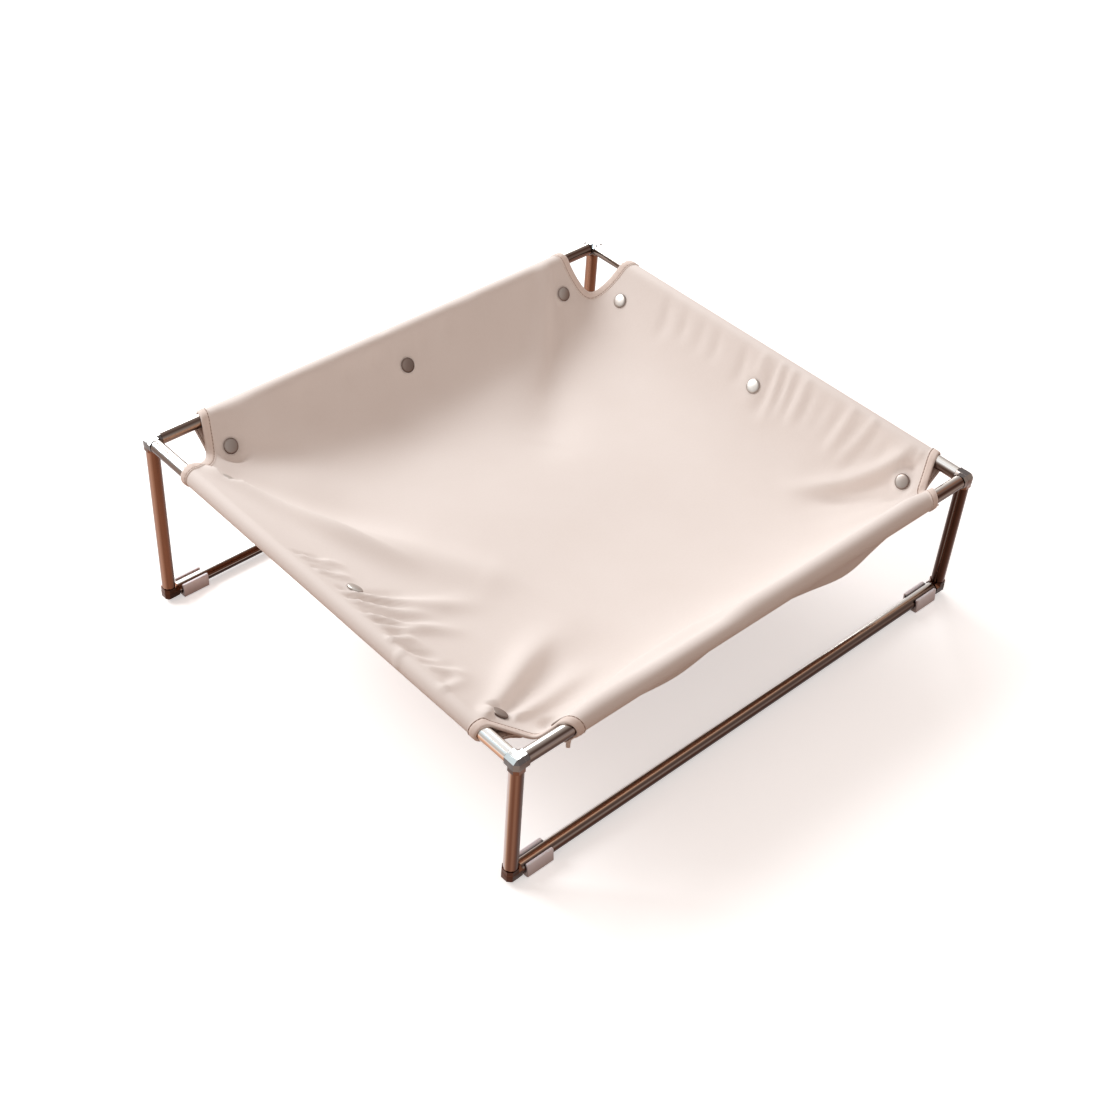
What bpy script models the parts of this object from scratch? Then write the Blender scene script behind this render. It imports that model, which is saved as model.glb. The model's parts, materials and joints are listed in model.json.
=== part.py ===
"""Cat hammock: a sling of cloth snapped round the top rails of a low plug-together tube frame.

Metres, +Z up. X runs along the bottom rails, +Y from front to rear. The floor is z = 0, and the
origin is under the middle of the whole object. The top frame leans forward because the rear legs
are longer, and the legs stand square to it. Most pieces are therefore placed in the top frame's own
space: the empty top_frame_datum sits at the middle of the four top rails, in the plane of their axes.
"""

import math

import bmesh
import bpy
from mathutils import Matrix, Vector

# Frame
rail_span_x = 0.545
rail_span_y = 0.4975
front_leg_height = 0.1315
rear_leg_height = 0.183
tube_diameter = 0.0127
tube_wall = 0.0008
tube_sides = 18
seat_gap = 0.0003

# Plug-in fittings
fitting_width = 0.0136
fitting_chamfer = 0.0034
collar_width = 0.0133
collar_reach = 0.0078
spigot_length = 0.026
spigot_rib_height = 0.0008
spigot_rib_count = 8
spigot_tip_length = 0.002
spigot_tip_inset = 0.0009

# Foot clips
foot_length = 0.028
foot_width = 0.0172
foot_pad = 0.0025
foot_wall_top = 0.0058
foot_grip_angle = 33.0
foot_corner_radius = 0.0024
foot_lip_land = 0.0008
foot_bore_points = 15
foot_corner_points = 4
foot_from_front_leg = 0.0255
foot_from_rear_leg = 0.0255

# Sling cloth
cloth_thickness = 0.0012
bare_rail_left = 0.0521
bare_rail_right = 0.0457
bare_left_rail_front = 0.0388
bare_left_rail_rear = 0.0575
bare_right_rail_front = 0.0335
bare_right_rail_rear = 0.0525
bite_radius = 0.085
bite_sides = 84
wall_blend_power = 5.0
front_wall_angle = 60.0
rear_wall_angle = 64.0
left_wall_angle = 39.0
right_wall_angle = 64.0
front_wall_depth = 0.104
rear_wall_depth = 0.108
left_wall_depth = 0.100
right_wall_depth = 0.108
wall_wrap_steps = 3
rail_wrap_steps = 6
floor_line_shares = (0.17, 0.36, 0.57, 0.79)
flap_start_gap = 0.0004
flap_tail = 0.013
flap_slack = 0.0035
front_flap_slack = 0.0085
flap_station_shares = (0.28, 0.72)

# Binding
binding_width = 0.0075
binding_thickness = 0.0006
binding_gap = 0.0003
loose_end_side = "front"
loose_end_length = 0.015
loose_end_angle = 68.0
loose_end_thickness = 0.0012
loose_end_root_share = 0.3
loose_end_shares = ((0.0, 0.0), (0.35, 0.08), (0.7, 0.04), (1.0, -0.10))

# Snap buttons: a cap and its socket riveted through the panel, a stud and its back riveted through the flap
snap_reach = 0.0325
snap_end_room_x = 0.0155
snap_end_room_y = 0.0155
snap_land = 0.0082
snap_seat_gap = 0.0004
rivet_diameter = 0.0030
cap_diameter = 0.015
cap_height = 0.0021
cap_rim_height = 0.0008
cap_crown_share = 0.72
socket_diameter = 0.0106
socket_height = 0.0024
socket_mouth = 0.0054
socket_edge = 0.0006
socket_roof = 0.0004
stud_flange_diameter = 0.0100
stud_flange_height = 0.0006
stud_diameter = 0.0038
stud_neck_diameter = 0.0030
stud_height = 0.0019
back_cap_diameter = 0.0100
back_cap_height = 0.0009
back_cap_edge = 0.0004
snap_sides = 10
rivet_hole_sides = 8

# Main folds of the cloth
calm_width = 0.030
fold_end_share = 0.15
ridge_height = 0.012
ridge_width = 0.028
ridge_start_shares = (-0.96, 0.70)
ridge_end_shares = (-0.42, -0.10)
valley_depth = 0.008
valley_width = 0.028
valley_start_shares = (0.76, 0.90)
valley_end_shares = (0.28, 0.38)
pleat_height = 0.005
pleat_width = 0.022
pleat_start_shares = (-0.92, -0.76)
pleat_end_shares = (-0.38, -0.48)

overrun = 0.004
cutter_depth = 0.080
flat_angle = 0.02
sharp_angle = 35.0
search_step = 0.0000001

# Worked out from the sizes above
tube_radius = tube_diameter / 2
bore_radius = tube_radius - tube_wall
half_x = rail_span_x / 2
half_y = rail_span_y / 2
lean = math.atan2(rear_leg_height - front_leg_height, rail_span_y)
cloth_radius = tube_radius + seat_gap + cloth_thickness / 2
binding_radius = cloth_radius + cloth_thickness / 2 + binding_gap + binding_thickness
foot_depth = tube_radius + seat_gap + foot_pad
snap_stack = 2 * snap_seat_gap + socket_height + seat_gap + stud_flange_height
band_room = cloth_thickness + 2 * binding_gap
band_thickness = band_room + 2 * binding_thickness
flap_drop = cloth_thickness + snap_stack

front_edge_y = -half_y * math.cos(lean) - binding_radius
rear_edge_y = half_y * math.cos(lean) + rear_leg_height * math.sin(lean) + foot_width / 2
datum_y = -(front_edge_y + rear_edge_y) / 2
datum_z = foot_depth + front_leg_height * math.cos(lean) + half_y * math.sin(lean)

# Each side of the top frame: its middle, the way along its rail, the way in, and the rail's half length
sides = {
    "front": (Vector((0, -half_y, 0)), Vector((1, 0, 0)), Vector((0, 1, 0))),
    "rear": (Vector((0, half_y, 0)), Vector((-1, 0, 0)), Vector((0, -1, 0))),
    "left": (Vector((-half_x, 0, 0)), Vector((0, -1, 0)), Vector((1, 0, 0))),
    "right": (Vector((half_x, 0, 0)), Vector((0, 1, 0)), Vector((-1, 0, 0))),
}
wall_angles = {
    "front": math.radians(front_wall_angle),
    "rear": math.radians(rear_wall_angle),
    "left": math.radians(left_wall_angle),
    "right": math.radians(right_wall_angle),
}
wall_depths = {
    "front": front_wall_depth,
    "rear": rear_wall_depth,
    "left": left_wall_depth,
    "right": right_wall_depth,
}
snap_names = {
    "front": ("left", "middle", "right"),
    "rear": ("right", "middle", "left"),
    "left": ("rear", "middle", "front"),
    "right": ("front", "middle", "rear"),
}
corners = {
    "rear_right": (half_x, half_y, 0.0),
    "rear_left": (-half_x, half_y, 90.0),
    "front_left": (-half_x, -half_y, 180.0),
    "front_right": (half_x, -half_y, 270.0),
}
bare_lengths = {
    "rear_right": (bare_rail_right, bare_right_rail_rear),
    "rear_left": (bare_rail_left, bare_left_rail_rear),
    "front_left": (bare_rail_left, bare_left_rail_front),
    "front_right": (bare_rail_right, bare_right_rail_front),
}


def clear_scene():
    for old in list(bpy.data.objects):
        bpy.data.objects.remove(old, do_unlink=True)


def make_material(name, color, roughness, metallic):
    material = bpy.data.materials.new(name)
    material.use_nodes = True
    shader = material.node_tree.nodes["Principled BSDF"]
    shader.inputs["Base Color"].default_value = (*color, 1.0)
    shader.inputs["Roughness"].default_value = roughness
    shader.inputs["Metallic"].default_value = metallic
    material.diffuse_color = (*color, 1.0)
    return material


def make_materials():
    return {
        "tube": make_material("polished_tube", (0.80, 0.79, 0.77), 0.12, 1.0),
        "fitting": make_material("chromed_fitting", (0.84, 0.84, 0.83), 0.10, 1.0),
        "foot": make_material("pale_plastic", (0.83, 0.78, 0.77), 0.45, 0.0),
        "cloth": make_material("sling_cloth", (0.78, 0.69, 0.63), 0.80, 0.0),
        "binding": make_material("sling_binding", (0.76, 0.66, 0.60), 0.85, 0.0),
        "snap": make_material("satin_nickel", (0.62, 0.59, 0.55), 0.30, 1.0),
    }


def place(name, mesh, material, parent, location=(0, 0, 0), turn=None):
    """Put a mesh in the scene as one named piece under its parent."""
    piece = bpy.data.objects.new(name, mesh)
    bpy.context.scene.collection.objects.link(piece)
    if not mesh.materials:
        mesh.materials.append(material)
    piece.parent = parent
    piece.location = location
    if turn is not None:
        piece.rotation_mode = "QUATERNION"
        piece.rotation_quaternion = turn.to_quaternion()
    return piece


def make_empty(name, parent, location):
    empty = bpy.data.objects.new(name, None)
    empty.empty_display_size = tube_diameter
    bpy.context.scene.collection.objects.link(empty)
    empty.parent = parent
    empty.location = location
    return empty


def finish_mesh(name, builder):
    """Turn a bmesh into a mesh with outward faces, smooth where it is round."""
    bmesh.ops.recalc_face_normals(builder, faces=builder.faces)
    mesh = bpy.data.meshes.new(name)
    builder.to_mesh(mesh)
    builder.free()
    mesh.shade_smooth()
    mesh.set_sharp_from_angle(angle=math.radians(sharp_angle))
    return mesh


def loft(builder, rings):
    """Join closed rings of points one after another, and cap both ends."""
    loops = [[builder.verts.new(point) for point in ring] for ring in rings]
    for before, after in zip(loops, loops[1:]):
        for index in range(len(before)):
            follow = (index + 1) % len(before)
            builder.faces.new((before[index], before[follow], after[follow], after[index]))
    builder.faces.new(loops[0])
    builder.faces.new(loops[-1])


def circle(radius, height, count, start=0.0):
    """Points of a circle round Z."""
    step = 2 * math.pi / count
    return [
        Vector((radius * math.cos(start + step * index), radius * math.sin(start + step * index), height))
        for index in range(count)
    ]


def turned_solid(builder, profile, count, place_matrix):
    """Revolve a profile of (radius, height) pairs that starts and ends on the axis or closes a ring."""
    rings = [circle(radius, height, count) for radius, height in profile]
    loft(builder, [[place_matrix @ point for point in ring] for ring in rings])


def turned_ring(builder, profile, count, place_matrix):
    """Revolve a closed profile that stays clear of the axis."""
    loops = []
    for radius, height in profile:
        loops.append([builder.verts.new(place_matrix @ point) for point in circle(radius, height, count)])
    for before, after in zip(loops, loops[1:] + loops[:1]):
        for index in range(count):
            follow = (index + 1) % count
            builder.faces.new((before[index], before[follow], after[follow], after[index]))


def merge_flat_faces(mesh):
    """Join neighbouring faces that lie in one plane."""
    builder = bmesh.new()
    builder.from_mesh(mesh)
    bmesh.ops.dissolve_limit(
        builder, angle_limit=math.radians(flat_angle), verts=builder.verts, edges=builder.edges
    )
    builder.to_mesh(mesh)
    builder.free()


def boolean_mesh(name, base, cutters):
    """The mesh of one temporary object after its Boolean modifiers; cutters are (mesh, operation)."""
    scene_objects = bpy.context.scene.collection.objects
    target = bpy.data.objects.new(name, base)
    scene_objects.link(target)
    helpers = [target]
    for mesh, operation in cutters:
        helper = bpy.data.objects.new(name + "_helper", mesh)
        scene_objects.link(helper)
        helpers.append(helper)
        modifier = target.modifiers.new(operation, "BOOLEAN")
        modifier.operation = operation
        modifier.object = helper
    graph = bpy.context.evaluated_depsgraph_get()
    result = bpy.data.meshes.new_from_object(target.evaluated_get(graph))
    for helper in helpers:
        bpy.data.objects.remove(helper, do_unlink=True)
    result.name = name
    merge_flat_faces(result)
    result.shade_smooth()
    result.set_sharp_from_angle(angle=math.radians(sharp_angle))
    return result


# Tubes


def tube_mesh(name, length):
    """A plain round tube along Z with open ends."""
    builder = bmesh.new()
    profile = [
        (tube_radius, -length / 2),
        (tube_radius, length / 2),
        (bore_radius, length / 2),
        (bore_radius, -length / 2),
    ]
    turned_ring(builder, profile, tube_sides, Matrix.Identity(4))
    return finish_mesh(name, builder)


def make_tubes(datum, material):
    end_room = 2 * (collar_reach + seat_gap)
    along_x = Matrix.Rotation(math.radians(90.0), 4, "Y")
    along_y = Matrix.Rotation(math.radians(90.0), 4, "X")
    upright = Matrix.Identity(4)
    long_mesh = tube_mesh("rail_along_x", rail_span_x - end_room)
    side_mesh = tube_mesh("rail_along_y", rail_span_y - end_room)
    for end, y in (("front", -half_y), ("rear", half_y)):
        place("top_rail_" + end, long_mesh, material, datum, (0, y, 0), along_x)
    for end, x in (("left", -half_x), ("right", half_x)):
        place("top_rail_" + end, side_mesh, material, datum, (x, 0, 0), along_y)
    for end, y, height in (("front", -half_y, front_leg_height), ("rear", half_y, rear_leg_height)):
        place("bottom_rail_" + end, long_mesh, material, datum, (0, y, -height), along_x)
        leg_mesh = tube_mesh("leg_" + end, height - end_room)
        for side, x in (("left", -half_x), ("right", half_x)):
            place("leg_" + end + "_" + side, leg_mesh, material, datum, (x, y, -height / 2), upright)


# Fittings


def octagon(width, chamfer, height):
    """Sixteen points round an eight-sided section: its corners and the middles of its long flats."""
    half = width / 2
    flat = half - chamfer
    corner = half - chamfer / 2
    quarter = [(half, 0), (half, flat), (corner, corner), (flat, half)]
    points = []
    for turn_count in range(4):
        for x, y in quarter:
            for _ in range(turn_count):
                x, y = -y, x
            points.append(Vector((x, y, height)))
    return points


def ribbed(crest_radius, height):
    """Points of a spigot's section: ribs that grip the bore, with flats between them."""
    points = []
    for index in range(2 * spigot_rib_count):
        radius = crest_radius - (index % 2) * spigot_rib_height
        angle = math.pi * index / spigot_rib_count
        points.append(Vector((radius * math.cos(angle), radius * math.sin(angle), height)))
    return points


def arm_mesh(name, direction):
    """One arm of a fitting from the middle of its body: an eight-sided collar, then a ribbed spigot."""
    chamfer = fitting_chamfer * collar_width / fitting_width
    crest = bore_radius - seat_gap
    tip = collar_reach + spigot_length
    rings = [
        octagon(collar_width, chamfer, 0),
        octagon(collar_width, chamfer, collar_reach),
        ribbed(crest, collar_reach),
        ribbed(crest, tip - spigot_tip_length),
        ribbed(crest - spigot_tip_inset, tip),
    ]
    turn = Vector((0, 0, 1)).rotation_difference(Vector(direction)).to_matrix().to_4x4()
    builder = bmesh.new()
    loft(builder, [[turn @ point for point in ring] for ring in rings])
    return finish_mesh(name, builder)


def fitting_body_mesh(name):
    """The block at the heart of a fitting, with every edge chamfered."""
    builder = bmesh.new()
    bmesh.ops.create_cube(builder, size=fitting_width)
    edges = list(builder.edges)
    bmesh.ops.bevel(builder, geom=edges, offset=fitting_chamfer, segments=1, affect="EDGES", offset_type="OFFSET")
    return finish_mesh(name, builder)


def make_fittings(datum, material):
    arms = [(arm_mesh("arm", direction), "UNION") for direction in ((-1, 0, 0), (0, -1, 0), (0, 0, -1))]
    corner_mesh = boolean_mesh("corner_fitting", fitting_body_mesh("body"), arms)
    arms = [(arm_mesh("arm", direction), "UNION") for direction in ((-1, 0, 0), (0, 0, 1))]
    elbow_mesh = boolean_mesh("elbow", fitting_body_mesh("body"), arms)
    for name, (x, y, angle) in corners.items():
        turn = Matrix.Rotation(math.radians(angle), 4, "Z")
        place("corner_fitting_" + name, corner_mesh, material, datum, (x, y, 0), turn)
        height = front_leg_height if y < 0 else rear_leg_height
        turn = Matrix.Rotation(0.0 if x > 0 else math.pi, 4, "Z")
        place("elbow_" + name, elbow_mesh, material, datum, (x, y, -height), turn)


# Foot clips


def arc_points(centre, radius, start, end, count):
    """Points on an arc in the YZ plane, both ends included, angles in degrees."""
    points = []
    for index in range(count):
        angle = math.radians(start + (end - start) * index / (count - 1))
        points.append((centre[0] + radius * math.cos(angle), centre[1] + radius * math.sin(angle)))
    return points


def foot_profile():
    """Section of a clip: a level pad, two walls that reach up round the tube, and a springy mouth."""
    half = foot_width / 2
    bottom = -foot_depth
    round_x = half - foot_corner_radius
    round_z = bottom + foot_corner_radius
    grip_radius = tube_radius + seat_gap
    bore = arc_points((0, 0), grip_radius, foot_grip_angle, -180.0 - foot_grip_angle, foot_bore_points)
    right = arc_points((round_x, round_z), foot_corner_radius, -90.0, 0.0, foot_corner_points)
    left = arc_points((-round_x, round_z), foot_corner_radius, 180.0, 270.0, foot_corner_points)
    lip = half - foot_lip_land
    outer = left + right + [(half, foot_wall_top), (lip, foot_wall_top)]
    return outer + bore + [(-lip, foot_wall_top), (-half, foot_wall_top)]


def make_feet(datum, material):
    builder = bmesh.new()
    rings = []
    for x in (-foot_length / 2, foot_length / 2):
        rings.append([Vector((x, y, z)) for y, z in foot_profile()])
    loft(builder, rings)
    mesh = finish_mesh("foot_clip", builder)
    level = Matrix.Rotation(-lean, 4, "X")
    for name, (x, y, _) in corners.items():
        height = front_leg_height if y < 0 else rear_leg_height
        from_leg = foot_from_front_leg if y < 0 else foot_from_rear_leg
        inset = from_leg if x < 0 else -from_leg
        place("foot_clip_" + name, mesh, material, datum, (x + inset, y, -height), level)


# Sling panel


def wall_height(side, inset):
    """Height of the cloth's middle layer beside one rail, inset in from the rail's axis.

    The cloth lies on the tube as far as the wall's own angle, leaves it there in a straight line,
    and levels out towards the wall's depth.
    """
    angle = wall_angles[side]
    leave = cloth_radius * math.sin(angle)
    if inset < leave:
        return math.sqrt(cloth_radius**2 - inset**2)
    depth = wall_depths[side]
    fall = (inset - leave) * math.tan(angle)
    return cloth_radius * math.cos(angle) - depth * (1 - math.exp(-fall / depth))


def fold(x, y, start_shares, end_shares, width):
    """A soft fold from one point to another: fullest half way, fading out beside the line and to its ends."""
    start = Vector((start_shares[0] * half_x, start_shares[1] * half_y))
    end = Vector((end_shares[0] * half_x, end_shares[1] * half_y))
    run = end - start
    share = (Vector((x, y)) - start).dot(run) / run.length_squared
    near_share = min(max(share, 0.0), 1.0)
    away = (Vector((x, y)) - start - run * near_share).length
    along_share = fold_end_share + (1 - 2 * fold_end_share) * near_share
    return math.exp(-((away / width) ** 2)) * math.sin(math.pi * along_share)


def cloth_height(x, y):
    """Height of the panel's middle layer inside the rails.

    Up to the snap buttons' land it is the nearest wall alone, flat under the buttons. Past it the four
    walls blend where they meet, and the main folds come in.
    """
    insets = {
        "front": y + half_y,
        "rear": half_y - y,
        "left": x + half_x,
        "right": half_x - x,
    }
    drops = [cloth_radius - wall_height(side, abs(inset)) for side, inset in insets.items()]
    least = min(drops)
    past_land = min(inset - land_insets[side][1] for side, inset in insets.items())
    if past_land <= 0:
        return cloth_radius - least
    blended = least * sum((least / one) ** wall_blend_power for one in drops) ** (-1 / wall_blend_power)
    folds = ridge_height * fold(x, y, ridge_start_shares, ridge_end_shares, ridge_width)
    folds -= valley_depth * fold(x, y, valley_start_shares, valley_end_shares, valley_width)
    folds += pleat_height * fold(x, y, pleat_start_shares, pleat_end_shares, pleat_width)
    free = 1 - math.exp(-((past_land / calm_width) ** 2))
    return cloth_radius - least + free * (least - blended + folds)


def snap_inset(side):
    """How far in from the rail's axis the snap buttons lie, at their reach along the hanging cloth."""
    near, far = 0.0, snap_reach
    while far - near > search_step:
        middle = (near + far) / 2
        if math.hypot(middle, wall_height(side, middle)) < snap_reach:
            near = middle
        else:
            far = middle
    return near


def land_ends(side):
    """Insets of the two ends of the flat land that the snap buttons sit on."""
    inset = snap_inset(side)
    slope = (wall_height(side, inset) - wall_height(side, inset - seat_gap)) / seat_gap
    half_land = snap_land / math.hypot(1.0, slope)
    return inset - half_land, inset + half_land


land_insets = {side: land_ends(side) for side in sides}


def land_line(side):
    """The middle of the snap land on the panel and its direction inward, in the side's section."""
    land_start, land_end = land_insets[side]
    first = Vector((land_start, wall_height(side, land_start)))
    last = Vector((land_end, wall_height(side, land_end)))
    return (first + last) / 2, (last - first).normalized()


def flap_land(side):
    """The flap's land under the snap buttons: its start, its middle and its direction inward."""
    middle, run = land_line(side)
    seat = middle + Vector((run.y, -run.x)) * flap_drop
    return seat - run * snap_land, seat, run


def leave_angle(side):
    """Angle round the rail, from its top outward, at which the cloth leaves for the flap's land."""
    land_start, _, _ = flap_land(side)
    bearing = math.atan2(-land_start.x, land_start.y) % (2 * math.pi)
    return bearing - math.acos(cloth_radius / land_start.length)


def grid_lines(near_side, far_side, half_span, button_places, past_wrap):
    """Grid lines across the sheet from one rail to the other, as (place, height).

    Inside the rails the height is None and follows from both places. Lines run beside the flat land of
    the end buttons. Past a rail's top the sheet goes round the rail to where the flap starts, and a
    cutter's sheet goes on straight by some room.
    """
    lines = [(0.0, None)]
    for side, sign in ((near_side, -1), (far_side, 1)):
        angle = wall_angles[side]
        turns = [angle * step / wall_wrap_steps for step in range(wall_wrap_steps + 1)]
        insets = [cloth_radius * math.sin(turn) for turn in turns]
        button_inset = half_span - max(sign * button for button in button_places)
        past_button = button_inset + snap_land
        rest = half_span - past_button
        insets += [*land_insets[side], button_inset - snap_land, past_button]
        insets += [past_button + rest * share for share in floor_line_shares]
        own = [(sign * (half_span - inset), None) for inset in reversed(insets)]
        leave = leave_angle(side)
        for step in range(1, rail_wrap_steps + 1):
            angle = leave * step / rail_wrap_steps
            out = cloth_radius * math.sin(angle)
            own.append((sign * (half_span + out), cloth_radius * math.cos(angle)))
        if past_wrap > 0:
            place_last, height_last = own[-1]
            out = past_wrap * math.cos(leave)
            own.append((place_last + sign * out, height_last - past_wrap * math.sin(leave)))
        lines = own[::-1] + lines if sign < 0 else lines + own
    return lines


def cloth_sheet_mesh(name, thickness, past_wrap):
    """The panel before its corners are hollowed: a cross of cloth, thickened both ways."""
    buttons_x = [(side_space("front") @ Vector((spot, 0, 0))).x for spot in snap_places("front")]
    buttons_y = [(side_space("right") @ Vector((spot, 0, 0))).y for spot in snap_places("right")]
    lines_x = grid_lines("left", "right", half_x, buttons_x, past_wrap)
    lines_y = grid_lines("front", "rear", half_y, buttons_y, past_wrap)
    builder = bmesh.new()
    grid = []
    for x, wrap_x in lines_x:
        row = []
        for y, wrap_y in lines_y:
            if wrap_x is None and wrap_y is None:
                row.append(builder.verts.new((x, y, cloth_height(x, y))))
            elif wrap_x is None or wrap_y is None:
                row.append(builder.verts.new((x, y, wrap_y if wrap_x is None else wrap_x)))
            else:
                row.append(None)
        grid.append(row)
    for row, next_row in zip(grid, grid[1:]):
        for index in range(len(lines_y) - 1):
            cell = (row[index], next_row[index], next_row[index + 1], row[index + 1])
            if None not in cell:
                builder.faces.new(cell)
    bmesh.ops.triangulate(builder, faces=builder.faces, quad_method="FIXED")
    builder.normal_update()
    sheet = bpy.data.meshes.new(name + "_sheet")
    builder.to_mesh(sheet)
    builder.free()
    target = bpy.data.objects.new(name + "_sheet", sheet)
    bpy.context.scene.collection.objects.link(target)
    modifier = target.modifiers.new("cloth", "SOLIDIFY")
    modifier.thickness = thickness
    modifier.offset = 0.0
    modifier.use_even_offset = True
    graph = bpy.context.evaluated_depsgraph_get()
    result = bpy.data.meshes.new_from_object(target.evaluated_get(graph))
    bpy.data.objects.remove(target, do_unlink=True)
    return result


def bite_centre(name):
    """Centre of the circle that hollows one corner: it passes where both rails come out of the cloth."""
    x, y, _ = corners[name]
    bare_x, bare_y = bare_lengths[name]
    end_x = Vector((x - math.copysign(bare_x, x), y, 0))
    end_y = Vector((x, y - math.copysign(bare_y, y), 0))
    half_chord = (end_y - end_x) / 2
    out = Vector((half_chord.y, -half_chord.x, 0)).normalized()
    if out.dot(Vector((x, y, 0))) < 0:
        out = -out
    return (end_x + end_y) / 2 + out * math.sqrt(bite_radius**2 - half_chord.length_squared)


def bite_mesh(radius):
    """Upright drums at the corners, which hollow the cloth."""
    builder = bmesh.new()
    for name in corners:
        centre = Matrix.Translation(bite_centre(name))
        turned_solid(builder, [(radius, -cutter_depth), (radius, cutter_depth)], bite_sides, centre)
    return finish_mesh("bite", builder)


def bite_ring_mesh(name, inner, outer):
    """The ring of space that one corner's binding lies in."""
    builder = bmesh.new()
    profile = [(inner, -cutter_depth), (outer, -cutter_depth), (outer, cutter_depth), (inner, cutter_depth)]
    turned_ring(builder, profile, bite_sides, Matrix.Translation(bite_centre(name)))
    return finish_mesh("bite_ring", builder)


def rail_room_mesh(side_names, space):
    """Room for the top rails, with the gap that touching pieces keep."""
    builder = bmesh.new()
    for side in side_names:
        middle, along, _ = sides[side]
        reach = (half_x if along.x else half_y) + overrun
        turn = Vector((0, 0, 1)).rotation_difference(along).to_matrix().to_4x4()
        profile = [(tube_radius + seat_gap, -reach), (tube_radius + seat_gap, reach)]
        turned_solid(builder, profile, tube_sides, space @ Matrix.Translation(middle) @ turn)
    return finish_mesh("rail_room", builder)


def make_panel(datum, materials):
    sheet = cloth_sheet_mesh("sling_panel", cloth_thickness, 0)
    cuts = [(bite_mesh(bite_radius), "DIFFERENCE"), (rivet_room_mesh(sides, 0, datum_space=True), "DIFFERENCE")]
    place("sling_panel", boolean_mesh("sling_panel", sheet, cuts), materials["cloth"], datum)
    room = cloth_sheet_mesh("cloth_room", band_room, overrun)
    room = boolean_mesh("cloth_room", room, [(bite_mesh(bite_radius - binding_gap), "DIFFERENCE")])
    rails = rail_room_mesh(sides, Matrix.Identity(4))
    for name in corners:
        ring = bite_ring_mesh(name, bite_radius - binding_gap - binding_thickness, bite_radius + binding_width)
        steps = [(ring, "INTERSECT"), (room, "DIFFERENCE"), (rails, "DIFFERENCE")]
        band = boolean_mesh("corner_binding_" + name, cloth_sheet_mesh("band", band_thickness, 0), steps)
        place("corner_binding_" + name, band, materials["binding"], datum)


# Flaps


def side_space(side):
    """Matrix from a side's own space to the top frame: x along the rail, y in, z up."""
    middle, along, inward = sides[side]
    axes = Matrix((along, inward, along.cross(inward))).transposed().to_4x4()
    return Matrix.Translation(middle) @ axes


def sleeve_ends(side, out=0.0):
    """Where the sleeve of cloth starts and ends along the rail, at a distance out from its axis."""
    space = side_space(side).inverted()
    reaches = []
    for name in corners:
        centre = space @ bite_centre(name)
        offset = abs(centre.y + out)
        if offset < bite_radius:
            half_chord = math.sqrt(bite_radius**2 - offset**2)
            reaches.append(centre.x - math.copysign(half_chord, centre.x))
    return min(reaches), max(reaches)


def snap_places(side):
    """The three snap buttons' places along the rail: the sleeve's middle, and a room in from each end."""
    room = snap_end_room_x if side in ("front", "rear") else snap_end_room_y
    start, end = sleeve_ends(side)
    return [start + room, (start + end) / 2, end - room]


def flap_section(side, slack, start_room, tail_room):
    """Points of the flap's middle layer: from where it leaves the rail, back in under the panel."""
    land_start, seat, run = flap_land(side)
    leave = leave_angle(side)
    rail_point = Vector((-cloth_radius * math.sin(leave), cloth_radius * math.cos(leave)))
    way = (land_start - rail_point).normalized()
    start = rail_point + way * (flap_start_gap - start_room)
    half_way = (rail_point + land_start) / 2 + Vector((way.y, -way.x)) * slack
    return [start, half_way, land_start, seat, seat + run * (flap_tail + tail_room)]


def section_normals(points):
    """At each point of a section, the way out of the cloth, long enough to keep its thickness in a bend."""
    runs = [(after - before).normalized() for before, after in zip(points, points[1:])]
    normals = []
    for before, after in zip([runs[0]] + runs, runs + [runs[-1]]):
        bisector = (before + after).normalized()
        normals.append(Vector((bisector.y, -bisector.x)) / -bisector.dot(before))
    return normals


def flap_stations(side, end_room):
    """Places along the rail of the flap's cross-sections, with the slack of each."""
    start, end = sleeve_ends(side, cloth_radius * math.sin(leave_angle(side)))
    first, middle, last = snap_places(side)
    most = front_flap_slack if side == "front" else flap_slack
    stations = [(start - end_room, 0.0), (first, 0.0)]
    for near, far in ((first, middle), (middle, last)):
        for share in flap_station_shares:
            stations.append((near + (far - near) * share, most * math.sin(math.pi * share)))
        stations.append((far, 0.0))
    return stations + [(end + end_room, 0.0)]


def flap_mesh(name, side, thickness, end_room=0.0, tail_room=0.0, start_room=0.0):
    """A flap's cloth as a solid of any thickness, longer at its ends, its tail or its start by some room."""
    rings = []
    for place_along, slack in flap_stations(side, end_room):
        points = flap_section(side, slack, start_room, tail_room)
        normals = section_normals(points)
        outer = [point + normal * thickness / 2 for point, normal in zip(points, normals)]
        inner = [point - normal * thickness / 2 for point, normal in zip(points, normals)]
        rings.append([Vector((place_along, point.x, point.y)) for point in outer + inner[::-1]])
    builder = bmesh.new()
    loft(builder, rings)
    return finish_mesh(name, builder)


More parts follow.
